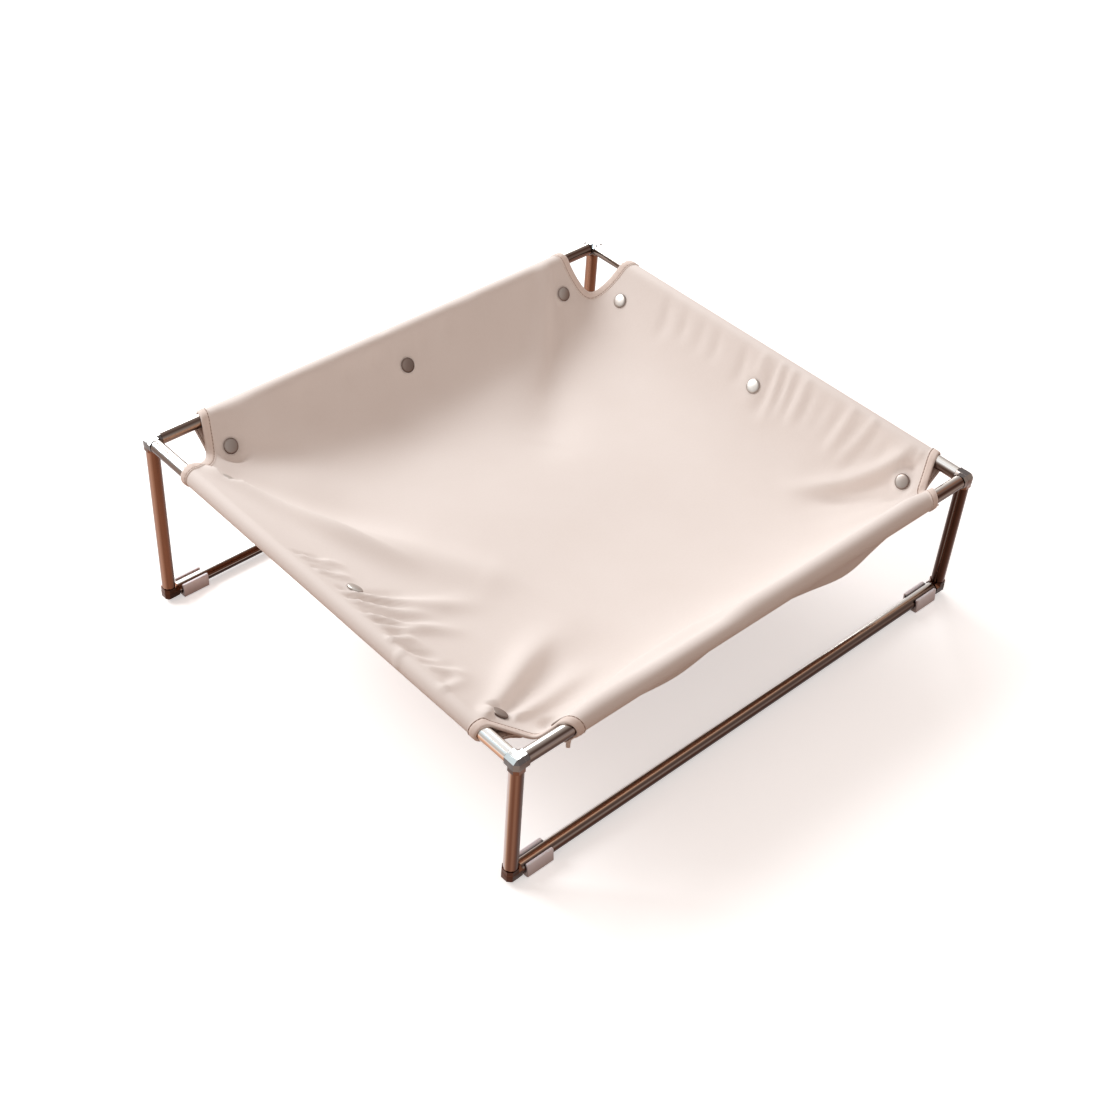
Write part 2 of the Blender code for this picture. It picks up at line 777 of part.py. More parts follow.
def loose_end_mesh(side):
    """The tail of the binding tape, which hangs free where the tape stops under the rail."""
    start, half_way = flap_section(side, 0.0, 0.0, 0.0)[:2]
    way = (half_way - start).normalized()
    out = Vector((way.y, -way.x))
    root = start + way * (binding_width * loose_end_root_share) + out * (band_thickness - binding_thickness) / 2
    angle = math.radians(loose_end_angle)
    run = Vector((math.cos(angle), -math.sin(angle)))
    across = Vector((run.y, -run.x))
    edge = flap_stations(side, 0.0)[0][0] - binding_gap
    rings = []
    for share, curl_share in loose_end_shares:
        middle = root + run * (loose_end_length * share) + across * (loose_end_length * curl_share)
        ring = []
        for side_x, side_z in ((0, 0), (binding_width, 0), (binding_width, 1), (0, 1)):
            spot = middle + across * (loose_end_thickness * side_z)
            ring.append(Vector((edge + side_x, spot.x, spot.y)))
        rings.append(ring)
    builder = bmesh.new()
    loft(builder, rings)
    return finish_mesh("loose_end", builder)


def flap_binding_mesh(side):
    """Tape folded over both ends and the tail of a flap, open in the middle, one leg left out at the rail."""
    edge_room = binding_gap + binding_thickness
    band = flap_mesh("band", side, band_thickness, end_room=edge_room, tail_room=edge_room)
    room = flap_mesh("cloth_room", side, band_room, binding_gap, binding_gap, overrun)
    window = flap_mesh("window", side, 2 * band_thickness, -binding_width, -binding_width, overrun)
    rail = rail_room_mesh([side], side_space(side).inverted())
    steps = [(room, "DIFFERENCE"), (window, "DIFFERENCE"), (rail, "DIFFERENCE")]
    if side == loose_end_side:
        steps.append((loose_end_mesh(side), "UNION"))
    return boolean_mesh("flap_binding_" + side, band, steps)


# Snap buttons


def snap_matrices(side, drop):
    """One matrix a snap button: z out of the panel's upper face, the origin a drop under its middle layer."""
    middle, run = land_line(side)
    up = Vector((-run.y, run.x))
    spot = middle - up * drop
    matrices = []
    for place_along in snap_places(side):
        along = Vector((1, 0, 0))
        out = Vector((0, up.x, up.y))
        axes = Matrix((along, out.cross(along), out)).transposed().to_4x4()
        matrices.append(Matrix.Translation(Vector((place_along, spot.x, spot.y))) @ axes)
    return matrices


def rivet_room_mesh(side_names, drop, datum_space):
    """Holes for the rivets through the panel, drop 0, or through the flap."""
    builder = bmesh.new()
    radius = rivet_diameter / 2 + seat_gap
    for side in side_names:
        space = side_space(side) if datum_space else Matrix.Identity(4)
        for matrix in snap_matrices(side, drop):
            profile = [(radius, -cloth_thickness), (radius, cloth_thickness)]
            turned_solid(builder, profile, rivet_hole_sides, space @ matrix)
    return finish_mesh("rivet_room", builder)


def cap_profile():
    """Domed cap over the cloth, rivet through it, socket under it with a blind mouth."""
    radius = cap_diameter / 2
    rivet = rivet_diameter / 2
    face = cloth_thickness / 2 + snap_seat_gap
    outer = socket_diameter / 2
    foot = -face - socket_height
    return [
        (radius * cap_crown_share, face + cap_height),
        (radius, face + cap_rim_height),
        (radius - cap_rim_height / 2, face),
        (rivet, face),
        (rivet, -face),
        (outer, -face),
        (outer, foot + socket_edge),
        (outer - socket_edge, foot),
        (socket_mouth / 2, foot),
        (socket_mouth / 2, -face - socket_roof),
    ]


def stud_profile():
    """Stud over the flap, rivet through it, flat back cap under it."""
    rivet = rivet_diameter / 2
    face = cloth_thickness / 2 + seat_gap
    flange = stud_flange_diameter / 2
    shoulder = face + stud_flange_height
    neck = stud_neck_diameter / 2
    back = back_cap_diameter / 2
    return [
        (neck, shoulder + stud_height),
        (stud_diameter / 2, shoulder + stud_height / 2),
        (neck, shoulder),
        (flange, shoulder),
        (flange, face),
        (rivet, face),
        (rivet, -face),
        (back, -face),
        (back - back_cap_edge, -face - back_cap_height),
    ]


def snap_mesh(name, profile):
    builder = bmesh.new()
    turned_solid(builder, profile, snap_sides, Matrix.Identity(4))
    return finish_mesh(name, builder)


def hinge_point(side):
    """Where a flap turns, in the side's own space: on its binding's outer face, where it leaves the rail."""
    leave = leave_angle(side)
    return Vector((0, -binding_radius * math.sin(leave), binding_radius * math.cos(leave)))


def make_side(side, datum, materials, cap_mesh, stud_mesh):
    """One side of the sling: its snap caps, and on the hinge line its flap, binding and studs."""
    space = side_space(side)
    turn_point = hinge_point(side)
    hinge = make_empty("flap_hinge_" + side, datum, space @ turn_point)
    hinge.rotation_mode = "QUATERNION"
    hinge.rotation_quaternion = space.to_quaternion()
    holes = rivet_room_mesh([side], flap_drop, datum_space=False)
    cloth = boolean_mesh("flap_" + side, flap_mesh("flap", side, cloth_thickness), [(holes, "DIFFERENCE")])
    place("flap_" + side, cloth, materials["cloth"], hinge, -turn_point)
    place("flap_binding_" + side, flap_binding_mesh(side), materials["binding"], hinge, -turn_point)
    for name, matrix in zip(snap_names[side], snap_matrices(side, 0)):
        turn = space @ matrix
        place("snap_cap_" + side + "_" + name, cap_mesh, materials["snap"], datum, turn.translation, turn)
    for name, matrix in zip(snap_names[side], snap_matrices(side, flap_drop)):
        spot = matrix.translation - turn_point
        place("snap_stud_" + side + "_" + name, stud_mesh, materials["snap"], hinge, spot, matrix)


def main():
    clear_scene()
    materials = make_materials()
    datum = make_empty("top_frame_datum", None, (0, datum_y, datum_z))
    datum.rotation_euler = (lean, 0, 0)
    make_tubes(datum, materials["tube"])
    make_fittings(datum, materials["fitting"])
    make_feet(datum, materials["foot"])
    make_panel(datum, materials)
    cap_mesh = snap_mesh("snap_cap", cap_profile())
    stud_mesh = snap_mesh("snap_stud", stud_profile())
    for side in sides:
        make_side(side, datum, materials, cap_mesh, stud_mesh)


main()
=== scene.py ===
# %% [markdown]
# # A sling bed of cloth on a plug-together tube frame
#
# The bed is a low square frame of polished tubes. Cast fittings hold the tubes at the corners, and pale
# plastic clips under the two floor rails are its feet. One sheet of cloth hangs between the four top
# rails. On each side it goes over the rail, comes back underneath, and is held there by three snap
# buttons. The rigid model already gives every size and place, so each piece made here is worked out
# from it. Lengths are metres throughout.

# %% Load the rigid model
import json
import math

import bmesh
import bpy
import numpy as np
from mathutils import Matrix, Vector


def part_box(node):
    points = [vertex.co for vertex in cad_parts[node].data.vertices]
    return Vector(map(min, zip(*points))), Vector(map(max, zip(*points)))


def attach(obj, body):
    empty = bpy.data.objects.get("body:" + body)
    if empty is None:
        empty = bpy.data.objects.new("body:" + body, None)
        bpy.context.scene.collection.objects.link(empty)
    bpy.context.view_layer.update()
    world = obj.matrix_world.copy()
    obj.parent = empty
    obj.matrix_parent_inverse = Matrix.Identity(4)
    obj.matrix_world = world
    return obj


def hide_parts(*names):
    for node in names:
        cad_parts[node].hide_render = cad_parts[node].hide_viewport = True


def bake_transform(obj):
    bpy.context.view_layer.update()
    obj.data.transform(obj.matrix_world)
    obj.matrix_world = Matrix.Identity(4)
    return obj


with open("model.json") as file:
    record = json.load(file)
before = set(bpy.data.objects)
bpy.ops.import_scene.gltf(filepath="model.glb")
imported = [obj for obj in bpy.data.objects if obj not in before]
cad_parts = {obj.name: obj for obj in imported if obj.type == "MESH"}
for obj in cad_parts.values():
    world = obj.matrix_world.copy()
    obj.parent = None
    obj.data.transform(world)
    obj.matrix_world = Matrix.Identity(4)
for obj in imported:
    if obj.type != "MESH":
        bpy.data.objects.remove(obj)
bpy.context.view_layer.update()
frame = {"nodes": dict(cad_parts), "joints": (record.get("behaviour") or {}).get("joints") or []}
root_body = "frame_and_sling"
print("rigid nodes:", len(frame["nodes"]))

# %% [markdown]
# ## The top frame's own space
#
# The rear legs are longer than the front ones, so the square of top rails leans forward and the legs
# lean with it. It is easiest to work in a space where that square is level: its origin is the middle of
# the four rail axes, x runs along the front rail and y from the front rail to the rear one. The lean and
# the spans are measured on the four rails of the rigid model.

# %% Measure the top frame


def read_array(items, key, width=1, kind=float):
    """One attribute of many mesh items as an array, with width numbers to an item."""
    values = np.empty(len(items) * width, kind)
    items.foreach_get(key, values)
    return values.reshape(-1, width) if width > 1 else values


def unit(vectors):
    """The same directions at length 1; each vector lies along the last axis."""
    return vectors / np.linalg.norm(vectors, axis=-1, keepdims=True)


def node_points(name):
    """All corners of a rigid node, as an array of world places."""
    return read_array(frame["nodes"][name].data.vertices, "co", 3)


def middle_of(name):
    """The middle of a rigid node's box."""
    low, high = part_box(name)
    return (np.array(low) + np.array(high)) / 2


front_axis = middle_of("top_rail_front")
rear_axis = middle_of("top_rail_rear")
across = rear_axis - front_axis
lean = math.atan2(across[2], across[1])
half_y = np.linalg.norm(across) / 2
half_x = (middle_of("top_rail_right") - middle_of("top_rail_left"))[0] / 2
top_middle = (front_axis + rear_axis) / 2
lean_turn = np.array([
    [1, 0, 0],
    [0, math.cos(lean), -math.sin(lean)],
    [0, math.sin(lean), math.cos(lean)],
])


def to_world(points):
    """Turn top-frame places by the lean and move them to the frame's middle."""
    return np.asarray(points) @ lean_turn.T + top_middle


def to_top(points):
    """The way back: world places as the top frame sees them."""
    return (np.asarray(points) - top_middle) @ lean_turn


def own_box(name):
    """Lowest and highest corner of a rigid node along the top frame's axes."""
    points = to_top(node_points(name))
    return points.min(axis=0), points.max(axis=0)


print("lean", round(math.degrees(lean), 2), "degrees, half spans", round(half_x, 4), round(half_y, 4))

# %% [markdown]
# ## Camera, light and floor
#
# The camera stands to the left of the front corner and looks down by about 37 degrees. Its place and
# lens were found from the straight tubes, with the sizes that the rigid model gives them. The light is
# broad and soft and comes from high behind the bed, as from two windows, with a warm surrounding. The
# floor shows as white, but gives back a warm light like a wooden floor, which is what tints the
# underside of the cloth.

# %% Camera
camera_place = (-0.90105, -1.00875, 1.07283)
camera_turn = (52.8153, 0.7161, -42.4664)
sensor_width = 36.0
lens_length = 57.449

camera_data = bpy.data.cameras.new("photo_camera")
camera_data.sensor_width = sensor_width
camera_data.lens = lens_length
camera = bpy.data.objects.new("photo_camera", camera_data)
camera.location = camera_place
camera.rotation_euler = [math.radians(angle) for angle in camera_turn]
bpy.context.scene.collection.objects.link(camera)
bpy.context.scene.camera = camera
bpy.context.scene.view_settings.view_transform = "Standard"
print("camera height", camera_place[2])

# %% Lights and world


def add_area_light(name, place, size, power):
    """A square daylight lamp that faces the middle of the bed."""
    data = bpy.data.lights.new(name, "AREA")
    data.size = size
    data.energy = power
    data.color = daylight
    lamp = bpy.data.objects.new(name, data)
    lamp.location = place
    aim = Vector(lamp_aim) - Vector(place)
    lamp.rotation_euler = aim.to_track_quat("-Z", "Y").to_euler()
    bpy.context.scene.collection.objects.link(lamp)
    return lamp


daylight = (0.95, 0.98, 1.0)
lamp_aim = (0, 0, 0.1)
window_light = add_area_light("window_light", (-1.10, 1.65, 1.80), 1.3, 37.0)
fill_light = add_area_light("fill_light", (1.15, 1.65, 1.80), 1.5, 31.0)

room_color = (1.0, 0.82, 0.73)
room_strength = 0.47
white = (1.0, 1.0, 1.0)


def seen_directly(tree):
    """1 for camera rays and for mirrored and refracted ones, 0 for the light that lands on things."""
    nodes, links = tree.nodes, tree.links
    path = nodes.new("ShaderNodeLightPath")
    total = path.outputs["Is Camera Ray"]
    for name in ("Is Glossy Ray", "Is Transmission Ray"):
        greater = nodes.new("ShaderNodeMath")
        greater.operation = "MAXIMUM"
        links.new(total, greater.inputs[0])
        links.new(path.outputs[name], greater.inputs[1])
        total = greater.outputs[0]
    return total


def shader_node(tree, kind, **values):
    """A shader node with some of its inputs set."""
    node = tree.nodes.new(kind)
    for key, value in values.items():
        node.inputs[key].default_value = value
    return node


def show_by_ray(tree, landing, seen, output):
    """Finish a tree: one shader for the light that lands on things, one for what is seen directly."""
    either = tree.nodes.new("ShaderNodeMixShader")
    out = tree.nodes.new(output)
    tree.links.new(seen_directly(tree), either.inputs[0])
    tree.links.new(landing.outputs[0], either.inputs[1])
    tree.links.new(seen.outputs[0], either.inputs[2])
    tree.links.new(either.outputs[0], out.inputs["Surface"])


world = bpy.data.worlds.new("room")
world.use_nodes = True
bpy.context.scene.world = world
tree = world.node_tree
tree.nodes.clear()
room = shader_node(tree, "ShaderNodeBackground", Color=(*room_color, 1), Strength=room_strength)
backdrop = shader_node(tree, "ShaderNodeBackground", Color=(*white, 1), Strength=1.0)
show_by_ray(tree, room, backdrop, "ShaderNodeOutputWorld")
print("lamps:", window_light.name, fill_light.name)

# %% Floor
floor_half = 6.0
floor_white = (0.97, 0.965, 0.96)
floor_glow = 0.50
floor_warm = (0.42, 0.27, 0.20)

floor_mesh = bpy.data.meshes.new("floor")
square = floor_half * np.array([(-1, -1, 0), (1, -1, 0), (1, 1, 0), (-1, 1, 0)])
floor_mesh.from_pydata(square, [], [(0, 1, 2, 3)])
floor = bpy.data.objects.new("floor", floor_mesh)
bpy.context.scene.collection.objects.link(floor)

floor_material = bpy.data.materials.new("pale_floor")
floor_material.use_nodes = True
tree = floor_material.node_tree
tree.nodes.clear()
warm = shader_node(tree, "ShaderNodeBsdfDiffuse", Color=(*floor_warm, 1))
pale = shader_node(tree, "ShaderNodeBsdfDiffuse", Color=(*floor_white, 1))
glow = shader_node(tree, "ShaderNodeEmission", Strength=floor_glow)
lifted = tree.nodes.new("ShaderNodeAddShader")
tree.links.new(pale.outputs[0], lifted.inputs[0])
tree.links.new(glow.outputs[0], lifted.inputs[1])
show_by_ray(tree, warm, lifted, "ShaderNodeOutputMaterial")
floor_mesh.materials.append(floor_material)
print("floor is", 2 * floor_half, "m wide")

# %% [markdown]
# ## From arrays to meshes
#
# Nearly every piece is a grid of points worked out by a formula of two parameters. One helper turns
# such a grid into a mesh: it joins each point to its neighbours, closes the grid round where asked, and
# stores a UV map in metres, so that weave and drawing lines keep their real scale.

# %% Grid helpers
sharp_angle = 32.0
merge_distance = 1e-6


def grid_faces(rows, columns, close_rows, close_columns):
    """Corner numbers of the grid's quads; a closed direction joins the last line to the first."""
    i = np.arange(rows if close_rows else rows - 1)
    j = np.arange(columns if close_columns else columns - 1)
    i, j = np.meshgrid(i, j, indexing="ij")
    next_i = (i + 1) % rows
    next_j = (j + 1) % columns
    row, next_row = i * columns, next_i * columns
    return np.stack([row + j, next_row + j, next_row + next_j, row + next_j]).reshape(4, -1).T


def grid_uv(u, v):
    """UVs of each quad's corners; u and v have one more line in a closed direction."""
    last_i = u.shape[0] - 1
    last_j = u.shape[1] - 1
    i, j = np.meshgrid(np.arange(last_i), np.arange(last_j), indexing="ij")
    corners = ((i, j), (i + 1, j), (i + 1, j + 1), (i, j + 1))
    return np.stack([np.stack([u[c], v[c]], axis=-1) for c in corners], axis=2).reshape(-1, 2)


def set_uv(layer, uv):
    """Write UVs, one pair to a face corner, into a UV layer."""
    layer.data.foreach_set("uv", uv.astype(np.float32).ravel())


def make_piece(name, mesh, material, body):
    """Link a finished mesh as one piece with its material and body."""
    piece = bpy.data.objects.new(name, mesh)
    bpy.context.scene.collection.objects.link(piece)
    if not mesh.materials:
        mesh.materials.append(material)
    if body:
        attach(piece, body)
    return piece


def grid_mesh(name, points, u, v, close_rows=False, close_columns=False, keep=None, caps=False):
    """A mesh from a grid of points (rows, columns, 3).

    keep is a mask over the quads; caps closes both open ends of a tube whose columns go round.
    """
    rows, columns = points.shape[:2]
    faces = grid_faces(rows, columns, close_rows, close_columns)
    uv = grid_uv(u, v)
    if keep is not None:
        uv = uv[np.repeat(keep.ravel(), 4)]
        faces = faces[keep.ravel()]
    face_list = faces.tolist()
    if caps:
        face_list.append(list(range(columns)))
        face_list.append([(rows - 1) * columns + k for k in range(columns)][::-1])
        uv = np.concatenate([uv, np.zeros((2 * columns, 2))])
    mesh = bpy.data.meshes.new(name)
    mesh.from_pydata(points.reshape(-1, 3), [], face_list)
    set_uv(mesh.uv_layers.new(name="surface"), uv)
    return mesh


def tidy_mesh(mesh, recalculate=False, angle=sharp_angle):
    """Merge doubled points, drop loose ones, and shade smooth up to the sharp angle."""
    builder = bmesh.new()
    builder.from_mesh(mesh)
    bmesh.ops.remove_doubles(builder, verts=builder.verts, dist=merge_distance)
    loose = [vertex for vertex in builder.verts if not vertex.link_faces]
    bmesh.ops.delete(builder, geom=loose, context="VERTS")
    if recalculate:
        bmesh.ops.recalc_face_normals(builder, faces=builder.faces)
    builder.to_mesh(mesh)
    builder.free()
    mesh.shade_smooth()
    mesh.set_sharp_from_angle(angle=math.radians(angle))
    return mesh


def turned_mesh(name, profile, sides, place, axes, closed=True):
    """Revolve a profile of (radius, height) round an axis.

    place is the axis origin. axes has the start direction, the direction a quarter turn on, and the axis.
    u is the length along the axis and v the share of the way round.
    """
    profile = np.asarray(profile, float)
    turn = 2 * np.pi * np.arange(sides) / sides
    radius = profile[:, 0][:, None]
    around = np.cos(turn)[None, :, None] * axes[0] + np.sin(turn)[None, :, None] * axes[1]
    ring = radius[..., None] * around
    points = place + ring + profile[:, 1][:, None, None] * axes[2]
    heights = np.concatenate([profile[:, 1], profile[:1, 1]]) if closed else profile[:, 1]
    u, v = np.meshgrid(heights, np.arange(sides + 1) / sides, indexing="ij")
    mesh = grid_mesh(name, points, u, v, close_rows=closed, close_columns=True)
    return tidy_mesh(mesh, recalculate=True)


def add_bevel(piece, name, width, segments, angle):
    """Round the edges of a piece that turn by more than angle; gives the modifier."""
    bevel = piece.modifiers.new(name, "BEVEL")
    bevel.width = width
    bevel.segments = segments
    bevel.limit_method = "ANGLE"
    bevel.angle_limit = math.radians(angle)
    return bevel


print("grid helpers ready")

# %% [markdown]
# ## Shared surface effects
#
# Three effects turn up on more than one finish, so each is a node group that is built once. Drawn metal
# gives fine lines along a tube and a slow wander across it. Woven cloth gives crossing threads and soft
# clouds of tone. Fine grain is the small unevenness of castings and mouldings.

# %% Group helpers


def new_group(name, inputs, outputs):
    """An empty shader group with named sockets; inputs are (name, kind, default)."""
    group = bpy.data.node_groups.new(name, "ShaderNodeTree")
    for socket_name, kind, default in inputs:
        socket = group.interface.new_socket(socket_name, in_out="INPUT", socket_type=kind)
        socket.default_value = default
    for socket_name, kind in outputs:
        group.interface.new_socket(socket_name, in_out="OUTPUT", socket_type=kind)
    return group, group.nodes.new("NodeGroupInput"), group.nodes.new("NodeGroupOutput")


def feed(tree, socket, value):
    """Link an input to another socket, or set it to a number or colour."""
    if hasattr(value, "is_linked"):
        tree.links.new(value, socket)
    else:
        socket.default_value = value


def add_math(tree, operation, *operands):
    """A math node; each operand is a socket or a number."""
    node = tree.nodes.new("ShaderNodeMath")
    node.operation = operation
    for socket, value in zip(node.inputs, operands):
        feed(tree, socket, value)
    return node.outputs[0]


def add_noise(tree, vector, scale, detail, roughness=0.5):
    """Noise on a vector; scale is a socket or a number."""
    node = tree.nodes.new("ShaderNodeTexNoise")
    tree.links.new(vector, node.inputs["Vector"])
    feed(tree, node.inputs["Scale"], scale)
    node.inputs["Detail"].default_value = detail
    node.inputs["Roughness"].default_value = roughness
    return node.outputs["Fac"]


def add_mix(tree, factor, first, second, way="MIX"):
    """Mix or multiply two colours; factor is a socket or a number."""
    node = tree.nodes.new("ShaderNodeMix")
    node.data_type = "RGBA"
    node.blend_type = way
    feed(tree, node.inputs["Factor"], factor)
    tree.links.new(first, node.inputs["A"])
    tree.links.new(second, node.inputs["B"])
    return node.outputs["Result"]


def split_vector(tree, vector):
    """The X, Y and Z outputs of a vector."""
    node = tree.nodes.new("ShaderNodeSeparateXYZ")
    tree.links.new(vector, node.inputs[0])
    return node.outputs


def join_vector(tree, x, y):
    """A vector of an X and a Y socket."""
    node = tree.nodes.new("ShaderNodeCombineXYZ")
    tree.links.new(x, node.inputs["X"])
    tree.links.new(y, node.inputs["Y"])
    return node.outputs[0]


number = "NodeSocketFloat"
color_kind = "NodeSocketColor"
vector_kind = "NodeSocketVector"

# %% Drawn metal group
drawn, group_in, group_out = new_group(
    "drawn_metal",
    [("Vector", vector_kind, (0, 0, 0)), ("Wander", number, 0.03), ("Line Scale", number, 60.0)],
    [("Around", number), ("Lines", number)],
)
split = split_vector(drawn, group_in.outputs["Vector"])
stretched = join_vector(drawn, add_math(drawn, "MULTIPLY", split["X"], 3.0), split["Y"])
slow = add_noise(drawn, stretched, 4.0, 2.0)
shift = add_math(drawn, "MULTIPLY", add_math(drawn, "SUBTRACT", slow, 0.5), group_in.outputs["Wander"])
drawn.links.new(add_math(drawn, "ADD", split["Y"], shift), group_out.inputs["Around"])
lines_y = add_math(drawn, "MULTIPLY", split["Y"], group_in.outputs["Line Scale"])
fine = join_vector(drawn, add_math(drawn, "MULTIPLY", split["X"], 6.0), lines_y)
drawn.links.new(add_noise(drawn, fine, 1.0, 3.0, 0.6), group_out.inputs["Lines"])
print("drawn metal: lines along the tube")

# %% Woven cloth group
woven, group_in, group_out = new_group(
    "woven_cloth",
    [
        ("Vector", vector_kind, (0, 0, 0)),
        ("Thread Pitch", number, 0.0007),
        ("Light", color_kind, (1, 1, 1, 1)),
        ("Deep", color_kind, (0.5, 0.5, 0.5, 1)),
    ],
    [("Color", color_kind), ("Height", number), ("Cloud", number)],
)
split = split_vector(woven, group_in.outputs["Vector"])
waves = []
for axis in ("X", "Y"):
    phase = add_math(woven, "DIVIDE", split[axis], group_in.outputs["Thread Pitch"])
    waves.append(add_math(woven, "SINE", add_math(woven, "MULTIPLY", phase, 2 * math.pi)))
weave = add_math(woven, "MULTIPLY", waves[0], waves[1])
cloud = add_noise(woven, group_in.outputs["Vector"], 14.0, 4.0, 0.55)
mottle = add_noise(woven, group_in.outputs["Vector"], 420.0, 2.0, 0.6)
weave_part = add_math(woven, "MULTIPLY_ADD", weave, 0.5, 0.5)
height = add_math(woven, "MULTIPLY_ADD", mottle, 0.5, weave_part)
woven.links.new(height, group_out.inputs["Height"])
woven.links.new(cloud, group_out.inputs["Cloud"])
tone = add_math(woven, "MULTIPLY_ADD", cloud, 0.55, add_math(woven, "MULTIPLY", mottle, 0.35))
tone = add_math(woven, "MULTIPLY_ADD", weave, 0.06, tone)
mixed = add_mix(woven, tone, group_in.outputs["Light"], group_in.outputs["Deep"])
woven.links.new(mixed, group_out.inputs["Color"])
print("woven cloth: threads 0.7 mm apart")

# %% Fine grain group
grain, group_in, group_out = new_group(
    "fine_grain",
    [("Vector", vector_kind, (0, 0, 0)), ("Scale", number, 300.0)],
    [("Grain", number), ("Cloud", number)],
)
grain_fac = add_noise(grain, group_in.outputs["Vector"], group_in.outputs["Scale"], 3.0, 0.6)
grain.links.new(grain_fac, group_out.inputs["Grain"])
grain.links.new(add_noise(grain, group_in.outputs["Vector"], 22.0, 3.0), group_out.inputs["Cloud"])
print("fine grain: castings and mouldings")

# %% [markdown]
# ## Finishes
#
# A bright tube takes all its colour from what it mirrors. In the room that was a white ceiling above, a
# dark band at eye level and a brown wooden floor below, so the tube reads as a light stripe on top, a dark
# one beneath and copper brown under that. In a plain studio nothing of the kind stands around the bed.
# The bands are therefore painted reflections in the metal's base colour, laid out round each tube by its
# UV map, and the shader adds the true reflections over them.

# %% Material helpers


def new_material(name):
    """A material with a Principled BSDF; gives the material, its tree and the shader."""
    material = bpy.data.materials.new(name)
    material.use_nodes = True
    tree = material.node_tree
    return material, tree, tree.nodes["Principled BSDF"]


def coordinates(tree, kind):
    """The Object or UV output of a Texture Coordinate node."""
    return tree.nodes.new("ShaderNodeTexCoord").outputs[kind]


def add_group(tree, group, **values):
    """Place a shared group; values are numbers, colours or sockets by input name with _ for a space."""
    node = tree.nodes.new("ShaderNodeGroup")
    node.node_tree = group
    for key, value in values.items():
        feed(tree, node.inputs[key.replace("_", " ")], value)
    return node


def add_ramp(tree, factor, stops):
    """A colour ramp; stops are (position, colour)."""
    node = tree.nodes.new("ShaderNodeValToRGB")
    ramp = node.color_ramp.elements
    while len(ramp) < len(stops):
        ramp.new(1.0)
    for element, (position, color) in zip(ramp, stops):
        element.position = position
        element.color = (*color, 1)
    tree.links.new(factor, node.inputs[0])
    return node.outputs["Color"]


def add_range(tree, factor, low, high):
    """Map 0..1 to low..high."""
    return add_math(tree, "MULTIPLY_ADD", factor, high - low, low)


def add_product(tree, first, second):
    """Multiply two colours, or a colour by a number that changes over the surface."""
    return add_mix(tree, 1.0, first, second, "MULTIPLY")


def add_bump(tree, shader, height, strength, distance):
    """A bump of real height that feeds the shader's normal."""
    node = tree.nodes.new("ShaderNodeBump")
    node.inputs["Strength"].default_value = strength
    node.inputs["Distance"].default_value = distance
    tree.links.new(height, node.inputs["Height"])
    tree.links.new(node.outputs[0], shader.inputs["Normal"])


# Colours of the painted reflections on tubes, fittings and elbows: light where they mirror the ceiling, dark
# and brown where they mirror the room and floor.
bright = (0.90, 0.88, 0.86)
cream = (0.82, 0.76, 0.70)
cool = (0.74, 0.84, 0.87)
silver = (0.58, 0.53, 0.49)
grey = (0.34, 0.285, 0.255)
ash = (0.20, 0.155, 0.13)
taupe = (0.120, 0.078, 0.062)
dark_brown = (0.070, 0.042, 0.033)
deep_brown = (0.050, 0.018, 0.010)
near_black = (0.028, 0.011, 0.006)
copper = (0.40, 0.235, 0.155)
warm_copper = (0.76, 0.46, 0.31)
leg_pale = (0.50, 0.40, 0.37)
leg_warm = (0.205, 0.096, 0.058)
leg_brown = (0.135, 0.052, 0.028)
leg_dark = (0.072, 0.024, 0.013)

# %% Tube metals
blend_reach = 0.46
tube_wander = 0.006
tube_line_scale = 46.0
tube_line_shade = (0.84, 1.10)
tube_line_bump = (0.12, 0.00005)


def add_roughness(tree, shader, factor, low, high):
    """Let the roughness run from low to high with a factor."""
    tree.links.new(add_range(tree, factor, low, high), shader.inputs["Roughness"])


def tube_metal(name, roughness, start_stops, end_stops=None):
    """Polished tube: its painted reflection bands follow the way round it and change from its start to its
    end.
    """
    material, tree, shader = new_material(name)
    uv = coordinates(tree, "UV")
    lines = add_group(tree, drawn, Vector=uv, Wander=tube_wander, Line_Scale=tube_line_scale).outputs
    way = add_math(tree, "MULTIPLY_ADD", split_vector(tree, uv)["X"], 1 / blend_reach, 0.5)
    ramps = [add_ramp(tree, lines["Around"], stops) for stops in (start_stops, end_stops or start_stops)]
    shade = add_range(tree, lines["Lines"], *tube_line_shade)
    tree.links.new(add_product(tree, add_mix(tree, way, *ramps), shade), shader.inputs["Base Color"])
    add_roughness(tree, shader, lines["Lines"], roughness * 0.7, roughness * 1.4)
    shader.inputs["Metallic"].default_value = 1.0
    add_bump(tree, shader, lines["Lines"], *tube_line_bump)
    return material
